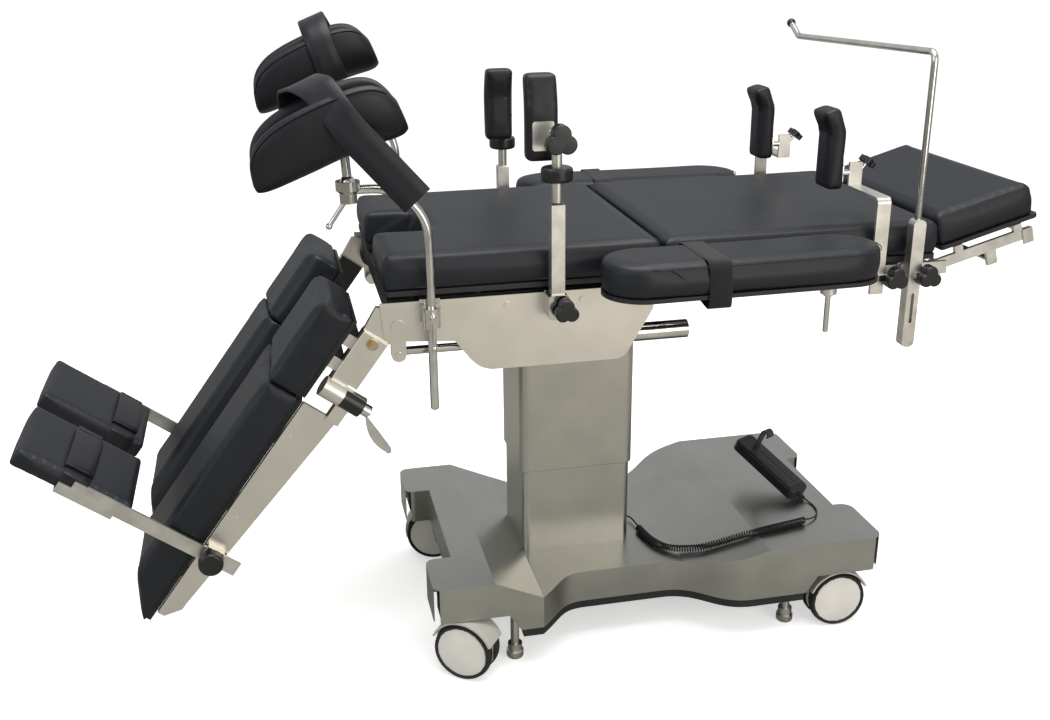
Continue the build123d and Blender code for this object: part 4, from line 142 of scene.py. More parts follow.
area_light("ceiling panel", (0.2, -0.4, 3.4), (0.1, 0, 0.6), 2.6, 105, "#fffdf8")
area_light("left window", (-3.2, -1.8, 2.2), (0, 0, 0.6), 2.0, 22, "#f6fbff")
area_light("front fill", (1.6, -3.6, 1.4), (0.1, 0, 0.4), 2.2, 46, "#fff6ea")

SKY_STRENGTH, SKY_SEEN = 0.62, 1.1
world = bpy.data.worlds.new("studio")
world.use_nodes = True
sky = world.node_tree.nodes["Background"]
sky.inputs["Color"].default_value = srgb("#f6f7f7")
seen = world.node_tree.nodes.new("ShaderNodeLightPath")
power = world.node_tree.nodes.new("ShaderNodeMapRange")
power.inputs["To Min"].default_value = SKY_STRENGTH
power.inputs["To Max"].default_value = SKY_SEEN
world.node_tree.links.new(seen.outputs["Is Camera Ray"], power.inputs["Value"])
world.node_tree.links.new(power.outputs[0], sky.inputs["Strength"])
scene.world = world
scene.view_settings.view_transform = "Standard"

# %% [markdown]
# ## Materials
# Each material is a small node tree: one shader, a colour that varies slightly, and a bump for its
# grain. Pattern sizes are given in millimetres of the real surface.

# %% Material helpers


def add_node(tree, kind, inputs=None, **settings):
    """Adds a shader node; inputs maps a socket name to a value or to another node's output."""
    node = tree.nodes.new(kind)
    for name, value in settings.items():
        setattr(node, name, value)
    for name, value in (inputs or {}).items():
        if isinstance(value, bpy.types.NodeSocket):
            tree.links.new(value, node.inputs[name])
        else:
            node.inputs[name].default_value = value
    return node


def new_material(name):
    """An empty material, its tree, and the object-space place in millimetres as a node's output."""
    material = bpy.data.materials.new(name)
    material.use_nodes = True
    tree = material.node_tree
    tree.nodes.clear()
    place = add_node(tree, "ShaderNodeTexCoord").outputs["Object"]
    in_mm = add_node(tree, "ShaderNodeVectorMath", {0: place}, operation="SCALE")
    in_mm.inputs["Scale"].default_value = 1000.0
    return material, tree, in_mm.outputs[0]


def shade(tree, colour, roughness, bump=None, **constants):
    """Ends a tree in one principled shader. Constants go straight onto the shader's sockets."""
    shader = add_node(tree, "ShaderNodeBsdfPrincipled", {"Base Color": colour, "Roughness": roughness})
    for name, value in constants.items():
        shader.inputs[name.replace("_", " ")].default_value = value
    if bump is not None:
        tree.links.new(bump, shader.inputs["Normal"])
    output = add_node(tree, "ShaderNodeOutputMaterial")
    tree.links.new(shader.outputs[0], output.inputs[0])


def mottle(tree, place, size_mm, detail, stretch=(1, 1, 1)):
    """A soft noise whose blotches are about size_mm wide, stretched along an axis if asked."""
    moved = add_node(tree, "ShaderNodeVectorMath", {0: place, 1: stretch}, operation="MULTIPLY")
    inputs = {"Vector": moved.outputs[0], "Scale": 1 / size_mm, "Detail": detail}
    return add_node(tree, "ShaderNodeTexNoise", inputs).outputs["Fac"]


def between(tree, factor, low, high):
    """A value that runs from low to high with a 0 to 1 factor."""
    node = add_node(tree, "ShaderNodeMapRange", {"Value": factor, "To Min": low, "To Max": high})
    return node.outputs[0]


def blend_colour(tree, factor, first, second):
    """A colour that runs from first to second with a factor."""
    ramp = add_node(tree, "ShaderNodeValToRGB", {"Fac": factor})
    stops = zip(ramp.color_ramp.elements, (first, second), (0.3, 0.7))
    for stop, colour, position in stops:
        stop.color = srgb(colour)
        stop.position = position
    return ramp.outputs["Color"]


def bumped(tree, height, depth_mm, strength, under=None):
    """A bump of depth_mm from a height, laid over an earlier bump if one is given."""
    inputs = {"Height": height, "Strength": strength, "Distance": depth_mm * MM}
    if under is not None:
        inputs["Normal"] = under
    return add_node(tree, "ShaderNodeBump", inputs).outputs[0]


# %% Materials


def brushed_steel(name, dark, light, stretch, roughness=(0.24, 0.38)):
    """Stainless sheet with a brushed finish: long fine scratches along one axis and faint smudges."""
    material, tree, place = new_material(name)
    scratches = mottle(tree, place, 1.2, 3.0, stretch)
    smudges = mottle(tree, place, 90, 3.0)
    colour = blend_colour(tree, smudges, dark, light)
    grain = bumped(tree, scratches, 0.05, 0.25)
    shade(tree, colour, between(tree, smudges, *roughness), grain, Metallic=1.0)
    return material


def chromed(name, colour, roughness=(0.1, 0.2)):
    """Polished or satin chrome with faint wipe marks."""
    material, tree, place = new_material(name)
    wipes = mottle(tree, place, 30, 3.0)
    tint = blend_colour(tree, wipes, colour, "#dddcd8")
    shade(tree, tint, between(tree, wipes, *roughness), Metallic=1.0)
    return material


def pad_cover(name, dark, light, roughness):
    """Coated fabric over foam: a fine leather grain, broad creases and a slight sheen."""
    material, tree, place = new_material(name)
    inputs = {"Vector": place, "Scale": 0.9}
    pores = add_node(tree, "ShaderNodeTexVoronoi", inputs, feature="DISTANCE_TO_EDGE")
    creases = mottle(tree, place, 55, 2.0, (1, 0.6, 1))
    smudges = mottle(tree, place, 120, 3.0)
    grain = bumped(tree, pores.outputs["Distance"], 0.08, 0.25)
    relief = bumped(tree, creases, 1.6, 0.35, grain)
    colour = blend_colour(tree, smudges, dark, light)
    shade(tree, colour, between(tree, smudges, *roughness), relief, Specular_IOR_Level=0.4)
    return material


def moulded(name, dark, light, roughness, grain_mm=0.8):
    """Moulded plastic or painted metal with a fine even texture."""
    material, tree, place = new_material(name)
    texture = mottle(tree, place, grain_mm, 2.0)
    smudges = mottle(tree, place, 60, 3.0)
    relief = bumped(tree, texture, 0.06, 0.3)
    shade(tree, blend_colour(tree, smudges, dark, light), between(tree, smudges, *roughness), relief)
    return material


def webbing(name, dark, light):
    """Woven strap: a fine twill from two crossed waves."""
    material, tree, place = new_material(name)
    inputs = {"Vector": place, "Scale": 0.35, "Distortion": 0.0}
    rib = add_node(tree, "ShaderNodeTexWave", inputs, bands_direction="DIAGONAL")
    relief = bumped(tree, rib.outputs["Fac"], 0.25, 0.6)
    smudges = mottle(tree, place, 25, 3.0)
    shade(tree, blend_colour(tree, smudges, dark, light), 0.85, relief, Sheen_Weight=0.1)
    return material


STEEL_LEVEL = brushed_steel("brushed stainless, level grain", "#a9aaa6", "#b3b4af", (0.02, 0.02, 1.0))
STEEL_UPRIGHT = brushed_steel("brushed stainless, upright grain", "#b0afa9", "#bab9b2", (1.0, 1.0, 0.02))
STEEL_PLATE = brushed_steel(
    "brushed stainless plate", "#d6d3ca", "#dfdcd4", (0.03, 1.0, 0.6), (0.3, 0.42)
)
CHROME = chromed("chromed steel", "#c9c8c3")
SATIN_CHROME = chromed("satin chromed steel", "#c4c2ba", (0.32, 0.42))
BRASS = chromed("brass", "#b98a3a", (0.2, 0.3))
COVER = pad_cover("black coated pad cover", "#0d1118", "#12161f", (0.42, 0.55))
SOFT_COVER = pad_cover("black soft cover", "#0b0c14", "#0f1119", (0.4, 0.5))
STRAP = webbing("black webbing", "#08090b", "#0d0e11")
BOARD = moulded("black phenolic board", "#131416", "#1b1c1f", (0.45, 0.6))
PAINT = moulded("black painted steel", "#17181a", "#1f2023", (0.4, 0.55), 1.5)
KNOB = moulded("black moulded knob", "#0f1013", "#17181c", (0.25, 0.38))
CONTROL = moulded("black control housing", "#121316", "#191a1e", (0.32, 0.45))
KEYS = moulded("grey keys", "#2a2c31", "#34363c", (0.4, 0.5))
WHITE = moulded("white caster disc", "#dedcd6", "#ebe9e4", (0.3, 0.42))
HOOD = moulded("grey caster housing", "#b4b3ae", "#c3c2bd", (0.4, 0.5))
TYRE = moulded("black tyre", "#141417", "#1f2023", (0.55, 0.7))
RUBBER = moulded("black cord rubber", "#0c0d0f", "#141518", (0.4, 0.5))
print("materials", len(bpy.data.materials))

# %% [markdown]
# ## The floor
# A plain pale floor. Seen by the camera it is as white as the backdrop of the photograph, and in
# reflections it is a light grey, so that the steel keeps its contrast.

# %% Floor
FLOOR_HALF = 12.0
FLOOR_GLOW = 0.5
MIX_FIRST, MIX_SECOND, MIX_RESULT = 6, 7, 2  # the colour sockets of a Mix node


def floor_material():
    """Pale floor: near white to the camera, greyer in reflections."""
    material, tree, _ = new_material("pale floor")
    seen_directly = add_node(tree, "ShaderNodeLightPath").outputs["Is Camera Ray"]
    colour = add_node(tree, "ShaderNodeMix", {"Factor": seen_directly}, data_type="RGBA")
    colour.inputs[MIX_FIRST].default_value = srgb("#a5a39d")
    colour.inputs[MIX_SECOND].default_value = srgb("#fbfbfa")
    glow = between(tree, seen_directly, 0.0, FLOOR_GLOW)
    shade(tree, colour.outputs[MIX_RESULT], 0.9, Emission_Color=srgb("#ffffff"))
    tree.links.new(glow, tree.nodes["Principled BSDF"].inputs["Emission Strength"])
    return material


def mesh_object(name, points, faces, material):
    """A new object of points and faces."""
    mesh = bpy.data.meshes.new(name)
    mesh.from_pydata([tuple(point) for point in points], [], faces)
    mesh.update()
    mesh.materials.append(material)
    return linked(name, mesh)


around = ((-1, -1), (1, -1), (1, 1), (-1, 1))
floor_corners = [(x * FLOOR_HALF, y * FLOOR_HALF, 0) for x, y in around]
floor = mesh_object("floor", floor_corners, [(0, 1, 2, 3)], floor_material())

# %% [markdown]
# ## Materials on the rigid pieces
# Every rigid piece stays as the frame has it. A node gets one main material, and faces that pass a test
# on their place get a second one, as the knobs and tyres do.

# %% Tests for faces
# Names ending in OUT are distances from the middle plane of the table, in metres.
KNOB_FOOT_OUT = 0.3185  # the knobs of the rail clamps and of the screen post
SHOULDER_KNOB_OUT = 0.3025
CALF_KNOB_OUT = 0.2945
BACK_RAIL_OUT = 0.2335  # the back frame is painted inside this, and chromed outside
LEG_ARM_OUT = 0.2585
PIN_HEAD_OUT, PIN_HEAD_RADIUS = 0.2802, 0.013
CYLINDER_OUT, CYLINDER_TOP = 0.225, 0.735
ARM_BRACKET_TOP = 0.822
POST_KNOB_LOW, POST_RADIUS = 0.96, 0.0105
RIM_RADIUS = 53 * MM
CYLINDER_END = at(-240, 0, 0).x
KNOBS_START = at(-150, 0, 0).x
PIN_HEAD = on_leg(51, 0, 22)
GLAND_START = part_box("column_lower_cover")[1].x - 4.5 * MM
SCREEN_BALL, SCREEN_BALL_REACH = at(640, 327.5, 1233), 13 * MM
KEY_FACE = Vector((0.192, -0.351, 0.916))  # the way the control's face looks
KEY_LEVEL = KEY_FACE.dot(at(550, -80, 225.2)) + 13.2 * MM


def beyond(across):
    """A test for faces further than this from the table's middle plane."""
    return lambda c: abs(c.y) > across


def within(across):
    """A test for faces nearer than this to the table's middle plane."""
    return lambda c: abs(c.y) < across


def on_cylinder(c):
    """True on the polished barrels of the leg cylinders."""
    return c.z < CYLINDER_TOP and abs(c.y) > CYLINDER_OUT and c.x > CYLINDER_END


def on_clamp_knob(c):
    """True on the rail clamps' knobs."""
    return abs(c.y) > KNOB_FOOT_OUT and c.x > KNOBS_START


def on_pin_head(c):
    """True on the brass head of a leg arm's pin."""
    return abs(c.y) > PIN_HEAD_OUT and (c - PIN_HEAD).xz.length < PIN_HEAD_RADIUS


def on_post_knob(node):
    """A test for the knob that stands off an upright post."""
    low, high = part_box(node)
    middle = ((low + high) / 2).xy
    return lambda c: c.z > POST_KNOB_LOW and (c.xy - middle).length > POST_RADIUS


def on_tyre(node, degrees):
    """A test for faces outside a wheel's rim; degrees is the way its caster trails."""
    low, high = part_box(node)
    middle = (low + high) / 2
    trail = Vector((math.cos(math.radians(degrees)), math.sin(math.radians(degrees)), 0))
    return lambda c: math.hypot((c - middle).dot(trail), c.z - middle.z) > RIM_RADIUS


# %% Rigid pieces


def paint_faces(mesh, others):
    """Gives further materials to the faces whose middle passes a test."""
    for index, (other, test) in enumerate(others, start=1):
        mesh.materials.append(other)
        for face in mesh.polygons:
            if test(face.center):
                face.material_index = index


def dress(node, material, *others):
    """Gives a CAD node its material, and other materials by test."""
    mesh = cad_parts[node].data
    mesh.materials.clear()
    mesh.materials.append(material)
    for face in mesh.polygons:
        face.material_index = 0
    paint_faces(mesh, others)


dress("base_cover", STEEL_LEVEL)
dress("base_chassis", PAINT)
dress("floor_feet", SATIN_CHROME)
dress("column_lower_cover", STEEL_UPRIGHT, (KNOB, lambda c: c.x > GLAND_START))
dress("column_upper_cover", STEEL_UPRIGHT)
dress("lift_mast", PAINT)
dress("pitch_cradle", PAINT)
dress("seat_frame", PAINT, (CHROME, on_cylinder))
dress("seat_side_plates", STEEL_PLATE)
dress("rail_clamps", CHROME, (KNOB, on_clamp_knob))
for board in ("seat_board", "back_board", "head_board"):
    dress(board, BOARD)
dress("back_frame", SATIN_CHROME, (PAINT, within(BACK_RAIL_OUT)))
dress("head_frame", SATIN_CHROME)
dress("screen_post", SATIN_CHROME, (KNOB, lambda c: c.y < -KNOB_FOOT_OUT))
dress("screen_rod", CHROME, (KNOB, lambda c: (c - SCREEN_BALL).length < SCREEN_BALL_REACH))
dress("handset", CONTROL, (KEYS, lambda c: c.dot(KEY_FACE) > KEY_LEVEL))
for side in SIDES:
    dress(f"{side}_leg_arm", STEEL_PLATE, (PAINT, within(LEG_ARM_OUT)), (BRASS, on_pin_head))
    dress(f"{side}_calf_frame", STEEL_PLATE, (KNOB, beyond(CALF_KNOB_OUT)))
    dress(f"{side}_armboard_base", BOARD, (CHROME, lambda c: c.z < ARM_BRACKET_TOP))
    for rod in ("leg_rod", "leg_clamp_lever", "crutch_rod"):
        dress(f"{side}_{rod}", CHROME)
    post = f"{side}_lateral_post"
    dress(post, SATIN_CHROME, (KNOB, on_post_knob(post)))
    dress(f"{side}_shoulder_bar", SATIN_CHROME, (KNOB, beyond(SHOULDER_KNOB_OUT)))
CASTER_TURNS = {"near_left": -35, "near_right": 180, "far_left": -12, "far_right": 150}
for corner, degrees in CASTER_TURNS.items():
    dress(f"{corner}_caster_body", HOOD)
    wheels = f"{corner}_caster_wheels"
    dress(wheels, WHITE, (TYRE, on_tyre(wheels, degrees)))
print("dressed", sum(bool(piece.data.materials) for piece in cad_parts.values()))

# %% [markdown]
# ## Foam pads
# Each pad is a foam block in a glued and stitched cover. Its space is the frame's own solid, so the
# block is copied from there and remeshed into even quads. A short cloth simulation with a little air
# pressure then draws the sides in between the corners, as a stretched cover does, with the face that
# lies on its board held still. A plain bevelled box would be quicker, but its flat sides and even
# highlights would look like plastic.

# %% Pad helpers


def solids_of(node):
    """The separate solids of a CAD node as bmeshes, the largest first."""
    whole = bmesh.new()
    whole.from_mesh(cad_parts[node].data)
    bmesh.ops.remove_doubles(whole, verts=whole.verts, dist=1e-6)
    whole.verts.ensure_lookup_table()
    left = set(whole.verts)
    found = []
    while left:
        group = set()
        edge_of_group = [left.pop()]
        while edge_of_group:
            vertex = edge_of_group.pop()
            group.add(vertex)
            for edge in vertex.link_edges:
                other = edge.other_vert(vertex)
                if other in left:
                    left.remove(other)
                    edge_of_group.append(other)
        solid = bmesh.new()
        copied = {vertex: solid.verts.new(vertex.co) for vertex in group}
        for face in {face for vertex in group for face in vertex.link_faces}:
            solid.faces.new([copied[vertex] for vertex in face.verts])
        bmesh.ops.recalc_face_normals(solid, faces=solid.faces)
        found.append(solid)
    whole.free()
    return sorted(found, key=lambda solid: -abs(solid.calc_volume()))


def from_bmesh(name, solid, material):
    """An object from a bmesh, which is then freed."""
    mesh = bpy.data.meshes.new(name)
    solid.to_mesh(mesh)
    solid.free()
    mesh.materials.append(material)
    return linked(name, mesh)


def apply_modifiers(piece):
    """Bakes a piece's modifiers into its mesh."""
    depsgraph = bpy.context.evaluated_depsgraph_get()
    mesh = bpy.data.meshes.new_from_object(piece.evaluated_get(depsgraph))
    piece.modifiers.clear()
    old = piece.data
    piece.data = mesh
    bpy.data.meshes.remove(old)


def remeshed(piece, voxel_mm, smooth_times):
    """Turns a closed mesh into even quads with softly rounded edges."""
    remesh = piece.modifiers.new("even", "REMESH")
    remesh.mode = "VOXEL"
    remesh.voxel_size = voxel_mm * MM
    smooth = piece.modifiers.new("soft", "SMOOTH")
    smooth.factor = 0.5
    smooth.iterations = smooth_times
    apply_modifiers(piece)


def subdivided(piece, levels):
    """Subdivides a piece and shades it smooth."""
    finer = piece.modifiers.new("finer", "SUBSURF")
    finer.levels = finer.render_levels = levels
    apply_modifiers(piece)
    piece.data.shade_smooth()


def edged(piece, degrees):
    """Shades a piece smooth, but for edges sharper than this."""
    piece.data.shade_smooth()
    piece.data.set_sharp_from_angle(angle=math.radians(degrees))


GLUED_MM = 3  # the cover is held still up to this far from its board
PRESSURE, LAST_FRAME = 2.5, 12
MOST_MOVE_MM = 2


def inflated(piece, base, up):
    """Puffs a pad by a short cloth simulation, held still at its base plane."""
    rest = [vertex.co.copy() for vertex in piece.data.vertices]
    group = piece.vertex_groups.new(name="glued")
    glued = [i for i, point in enumerate(rest) if (point - base).dot(up) < GLUED_MM * MM]
    group.add(glued, 1.0, "REPLACE")
    cloth = piece.modifiers.new("cover", "CLOTH")
    cloth.settings.use_pressure = True
    cloth.settings.uniform_pressure_force = PRESSURE
    cloth.settings.vertex_group_mass = "glued"
    cloth.settings.effector_weights.gravity = 0.0
    cloth.settings.quality = 4
    cloth.point_cache.frame_start = 1
    cloth.point_cache.frame_end = LAST_FRAME
    for moment in range(1, LAST_FRAME + 1):
        scene.frame_set(moment)
    apply_modifiers(piece)
    scene.frame_set(1)
    for vertex, old in zip(piece.data.vertices, rest):
        move = vertex.co - old
        if move.length > MOST_MOVE_MM * MM:
            vertex.co = old + move.normalized() * MOST_MOVE_MM * MM
    piece.vertex_groups.clear()


def foam_pad(name, node, body, base, up, voxel_mm=6, material=COVER, soften=4):
    """The cover of a foam block, in the space of the node's largest solid."""
    pad = from_bmesh(name, solids_of(node)[0], material)
    remeshed(pad, voxel_mm, soften)
    inflated(pad, base, up)
    subdivided(pad, 1)
    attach(pad, body)
    return pad


def solid_piece(name, solid, body, material):
    """A rigid solid of a replaced node, kept as it is."""
    piece = from_bmesh(name, solid, material)
    for polygon in piece.data.polygons:
        polygon.use_smooth = False
    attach(piece, body)
    return piece


UP = Vector((0, 0, 1))

# %% Pads of the top
HEAD_TILT = math.radians(15.5)
HEAD_BASE, HEAD_PAD_OUT = (722, 0, 797), 35
head_up = Vector((-math.sin(HEAD_TILT), 0, math.cos(HEAD_TILT)))
head_base = at(*HEAD_BASE) + head_up * HEAD_PAD_OUT * MM
seat_pad = foam_pad("seat_cushion", "seat_pad", "seat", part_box("seat_pad")[0], UP)
back_cushion = foam_pad("back_cushion", "back_pad", "back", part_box("back_pad")[0], UP)
head_cushion = foam_pad("head_cushion", "head_pad", "head", head_base, head_up)
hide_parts("seat_pad")
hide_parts("back_pad")
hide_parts("head_pad")
print("top pads", [len(pad.data.vertices) for pad in (seat_pad, back_cushion, head_cushion)])

# %% [markdown]
# ## Leg pads
# Each leg has a short thigh pad and a long calf pad on black boards, cut along the same slanted seam.

# %% Leg pads
LEG_PAD_OUT = 72
for side in SIDES:
    for part, body in (("thigh", f"{side} leg"), ("calf", f"{side} calf")):
        node = f"{side}_{part}_pad"
        base = on_leg(0, 0, LEG_PAD_OUT)
        foam = foam_pad(f"{side}_{part}_cushion", node, body, base, OUT_OF_LEG)
        board = solid_piece(f"{side}_{part}_board", solids_of(node)[1], body, BOARD)
        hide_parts(node)
        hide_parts(node)
print("leg pads made")

# %% [markdown]
# ## Straps and seams
# A strap is a flat band with rounded edges swept along a smooth line, modelled directly, since a remesh
# would erase it. A seam is a thin welt that follows the cover's edge.

# %% Strap helpers


def smooth_line(points, steps=8, closed=False):
    """A smooth line through a few points, as a denser list (Catmull-Rom)."""
    count = len(points)
    spans = count if closed else count - 1
    line = []
    for span in range(spans):
        corners = []
        for shift in (-1, 0, 1, 2):
            index = span + shift
            index = index % count if closed else min(max(index, 0), count - 1)
            corners.append(Vector(points[index]))
        a, b, c, d = corners
        for step in range(steps):
            t = step / steps
            line.append(
                0.5 * (2 * b + (c - a) * t + (2 * a - 5 * b + 4 * c - d) * t * t
                       + (3 * b - a - 3 * c + d) * t**3)
            )
    if not closed:
        line.append(Vector(points[-1]))
    return line


def ring_faces(count, rings, closed=False):
    """Quads between neighbouring rings of count points each."""
    faces = []
    for ring in range(rings if closed else rings - 1):
        here, there = ring * count, (ring + 1) % rings * count
        for k in range(count):
            j = (k + 1) % count
            faces.append((here + k, here + j, there + j, there + k))
    return faces


def band(name, points, across, width_mm, thick_mm, material, closed=False, edge_mm=None):
    """A strap along a line: across gives its width direction, one for all points or one for each."""
    line = smooth_line(points, closed=closed)
    if isinstance(across, Vector):
        sides = [across] * len(line)
    else:
        sides = smooth_line(across, closed=closed)
    half, thick = width_mm * MM / 2, thick_mm * MM / 2
    edge = (edge_mm or thick_mm * 0.45) * MM
    section = [(-half, edge - thick), (-half, thick - edge), (edge - half, thick)]
    section += [(-half / 3, thick), (half / 3, thick), (half - edge, thick)]
    section += [(-u, -v) for u, v in section]
    rows = []
    for index, place in enumerate(line):
        before = line[index - 1] if index or closed else place
        after = line[(index + 1) % len(line)] if index + 1 < len(line) or closed else place
        along = (after - before).normalized()
        side = (sides[index] - along * sides[index].dot(along)).normalized()
        out = side.cross(along)
        rows += [place + side * u + out * v for u, v in section]
    count, rings = len(section), len(line)
    faces = ring_faces(count, rings, closed)
    if not closed:
        faces.append(tuple(range(count - 1, -1, -1)))
        faces.append(tuple((rings - 1) * count + k for k in range(count)))
    strap = mesh_object(name, rows, faces, material)
    edged(strap, 50)
    return strap


def curve_through(name, places, kind):
    """A curve of one spline with these control points."""
    curve = bpy.data.curves.new(name, "CURVE")
    curve.dimensions = "3D"
    spline = curve.splines.new(kind)
    spline.points.add(len(places) - 1)
    for knot, place in zip(spline.points, places):
        knot.co = (*place, 1)
    return curve


def welt(name, points, radius_mm, material, closed=True):
    """A thin piped seam along a line of points."""
    curve = curve_through(name, points, "POLY")
    curve.bevel_depth = radius_mm * MM
    curve.bevel_resolution = 2
    curve.splines[0].use_cyclic_u = closed
    curve.materials.append(material)
    return linked(name, curve)


def rigid_rest(name, node, body, material, slot, chosen, *others):
    """The rigid solids of a replaced node that pass a test, as one piece; others paint its faces."""
    together = bmesh.new()
    for solid in solids_of(node)[1:]:
        centre = sum((vertex.co for vertex in solid.verts), Vector()) / len(solid.verts)
        if chosen(centre):
            mesh = bpy.data.meshes.new("part")
            solid.to_mesh(mesh)
            together.from_mesh(mesh)
            bpy.data.meshes.remove(mesh)
        solid.free()
    piece = from_bmesh(name, together, material)
    edged(piece, 35)
    paint_faces(piece.data, others)
    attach(piece, body)
    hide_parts(node)
    return piece


# %% Seam and strap sizes
EDGE_WELT, FINE_SEAM, CRADLE_WELT = 1.0, 0.7, 1.3  # radii in mm
ARM_STRAP_SIZE = (43, 1.6)  # width and thickness in mm
FOOT_STRAP_SIZE = (50, 1.8)
SLEEVE_SIZE, SLEEVE_EDGE = (56, 9), 3.5
CRADLE_STRAP_SIZE, CRADLE_STRAP_EDGE = (58, 7), 3

# %% [markdown]
# ## Arm board pads
# Round-ended pads with a welted top edge and a diagonal corner seam, each held by a webbing strap that
# goes round pad and plate and hangs a little slack under the plate.

# %% Arm board places
ARM_YAW = math.radians(1.3)
ARM_PIVOT = (463, 306)
ARM_MIDDLE, ARM_BESIDE_PIVOT = 270, 49
ARM_HALF_LENGTH, ARM_HALF_WIDTH = 258, 74
ARM_TOP, ARM_PLATE = 893, 833
STRAP_AT = -88  # from the board's middle
WELT_BELOW_TOP, WELT_INSET, WELT_STEPS = 7, 1.0, 64
SEAM_OUTSIDE = 0.3
ARM_STRAIGHT = ARM_HALF_LENGTH - ARM_HALF_WIDTH
CORNER_SEAM = (
    (6, ARM_TOP - 8),
    (26, ARM_TOP - 22),
    (60, ARM_PLATE + 4),
)
ARM_STRAP = (
    (0, -ARM_HALF_WIDTH - 1.5, ARM_TOP - 30),
    (0, -ARM_HALF_WIDTH - 1.0, ARM_TOP - 8),
    (0, -ARM_HALF_WIDTH + 9, ARM_TOP + 1.8),
    (0, -30, ARM_TOP + 2.2),
    (0, 30, ARM_TOP + 2.2),
    (1, ARM_HALF_WIDTH - 9, ARM_TOP + 1.8),
    (2, ARM_HALF_WIDTH + 1.5, ARM_TOP - 9),
    (3, ARM_HALF_WIDTH + 2.5, ARM_TOP - 32),
    (4, ARM_HALF_WIDTH + 2.2, ARM_PLATE - 8),
    (5, ARM_HALF_WIDTH - 6, ARM_PLATE - 26),
    (4, ARM_HALF_WIDTH - 34, ARM_PLATE - 22),
    (2, 10, ARM_PLATE - 14),
    (0, -40, ARM_PLATE - 12),
    (0, -ARM_HALF_WIDTH - 0.5, ARM_PLATE - 4),
)


def arm_place(sign, along, across, z):
    """A place on an arm board, along it from its middle, across it outwards, and a height; in mm."""
    pivot = at(ARM_PIVOT[0], sign * ARM_PIVOT[1], z)
    x, y = along + ARM_MIDDLE - ARM_PIVOT[0], across + ARM_BESIDE_PIVOT
    c, s = math.cos(ARM_YAW), math.sin(ARM_YAW)
    turned = (x * c + y * s, -x * s + y * c)
    return pivot + Vector((turned[0] * MM, sign * turned[1] * MM, 0))


# %% Arm boards
for side, sign in SIDES.items():
    body = f"{side} arm board"
    node = f"{side}_armboard_pad"
    cushion = foam_pad(f"{side}_arm_cushion", node, body, at(0, 0, ARM_PLATE), UP)
    rim = []
    for step in range(WELT_STEPS + 1):
        angle = math.tau * step / WELT_STEPS
        centre = ARM_STRAIGHT if math.cos(angle) >= 0 else -ARM_STRAIGHT
        radius = ARM_HALF_WIDTH - WELT_INSET
        along, across = centre + radius * math.cos(angle), radius * math.sin(angle)
        rim.append(arm_place(sign, along, across, ARM_TOP - WELT_BELOW_TOP))
    edge_seam = welt(f"{side}_arm_welt", rim, EDGE_WELT, COVER)
    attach(edge_seam, body)
    outside = ARM_HALF_WIDTH + SEAM_OUTSIDE
    corner = [arm_place(sign, along - ARM_STRAIGHT, outside, z) for along, z in CORNER_SEAM]
    line = smooth_line(corner)
    corner_seam = welt(f"{side}_arm_corner_seam", line, FINE_SEAM, COVER, closed=False)
    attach(corner_seam, body)
    loop = [arm_place(sign, STRAP_AT + along, across, z) for along, across, z in ARM_STRAP]
    strap = band(f"{side}_arm_strap", loop, Vector((1, 0, 0)), *ARM_STRAP_SIZE, STRAP, closed=True)
    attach(strap, body)
    for piece in (edge_seam, corner_seam, strap):
        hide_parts(node)
    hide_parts(node)
print("arm boards made")

# %% [markdown]
# ## Foot plates
# A padded block on a flat steel arm. A strap goes round it, with a stitched sleeve on the side where
# the sole rests.

# %% Foot plates
FOOT_PLACES = {"near": (560, 214, 0.5), "far": (590, 206, 0.22)}  # along, low end, strap's share up
FOOT_HEIGHT, FOOT_WIDTH, FOOT_THICK, FOOT_OUTSIDE = 226, 213, 36, 280
STRAP_OFF = 1.6
FACE = FOOT_THICK / 2 + STRAP_OFF
INNER, OUTER = FOOT_OUTSIDE - FOOT_WIDTH - STRAP_OFF, FOOT_OUTSIDE + STRAP_OFF
FOOT_ARM_OUT = 0.24
UNGLUED = on_leg(0, 0, -1000)  # so far off that nothing of the cover is held still
FOOT_STRAP = (
    (-FACE, INNER + 8),
    (-FACE - 0.5, INNER + 60),
    (-FACE - 0.5, OUTER - 60),
    (-FACE, OUTER - 8),
    (-FACE + 8, OUTER),
    (FACE - 8, OUTER),
    (FACE, OUTER - 8),
    (FACE, OUTER - 60),
    (FACE, INNER + 60),
    (FACE, INNER + 8),
    (FACE - 8, INNER),
    (-FACE + 8, INNER),
)
SLEEVE = ((INNER + 30, 1.5), (INNER + 48, 5), (INNER + 105, 7), (OUTER - 44, 5), (OUTER - 22, 1.5))
HEM_LIFT = 8.2
HEM = ((INNER + 36, -24), (INNER + 105, -24), (OUTER - 30, -24))
HEM += tuple((y, -w) for y, w in reversed(HEM))

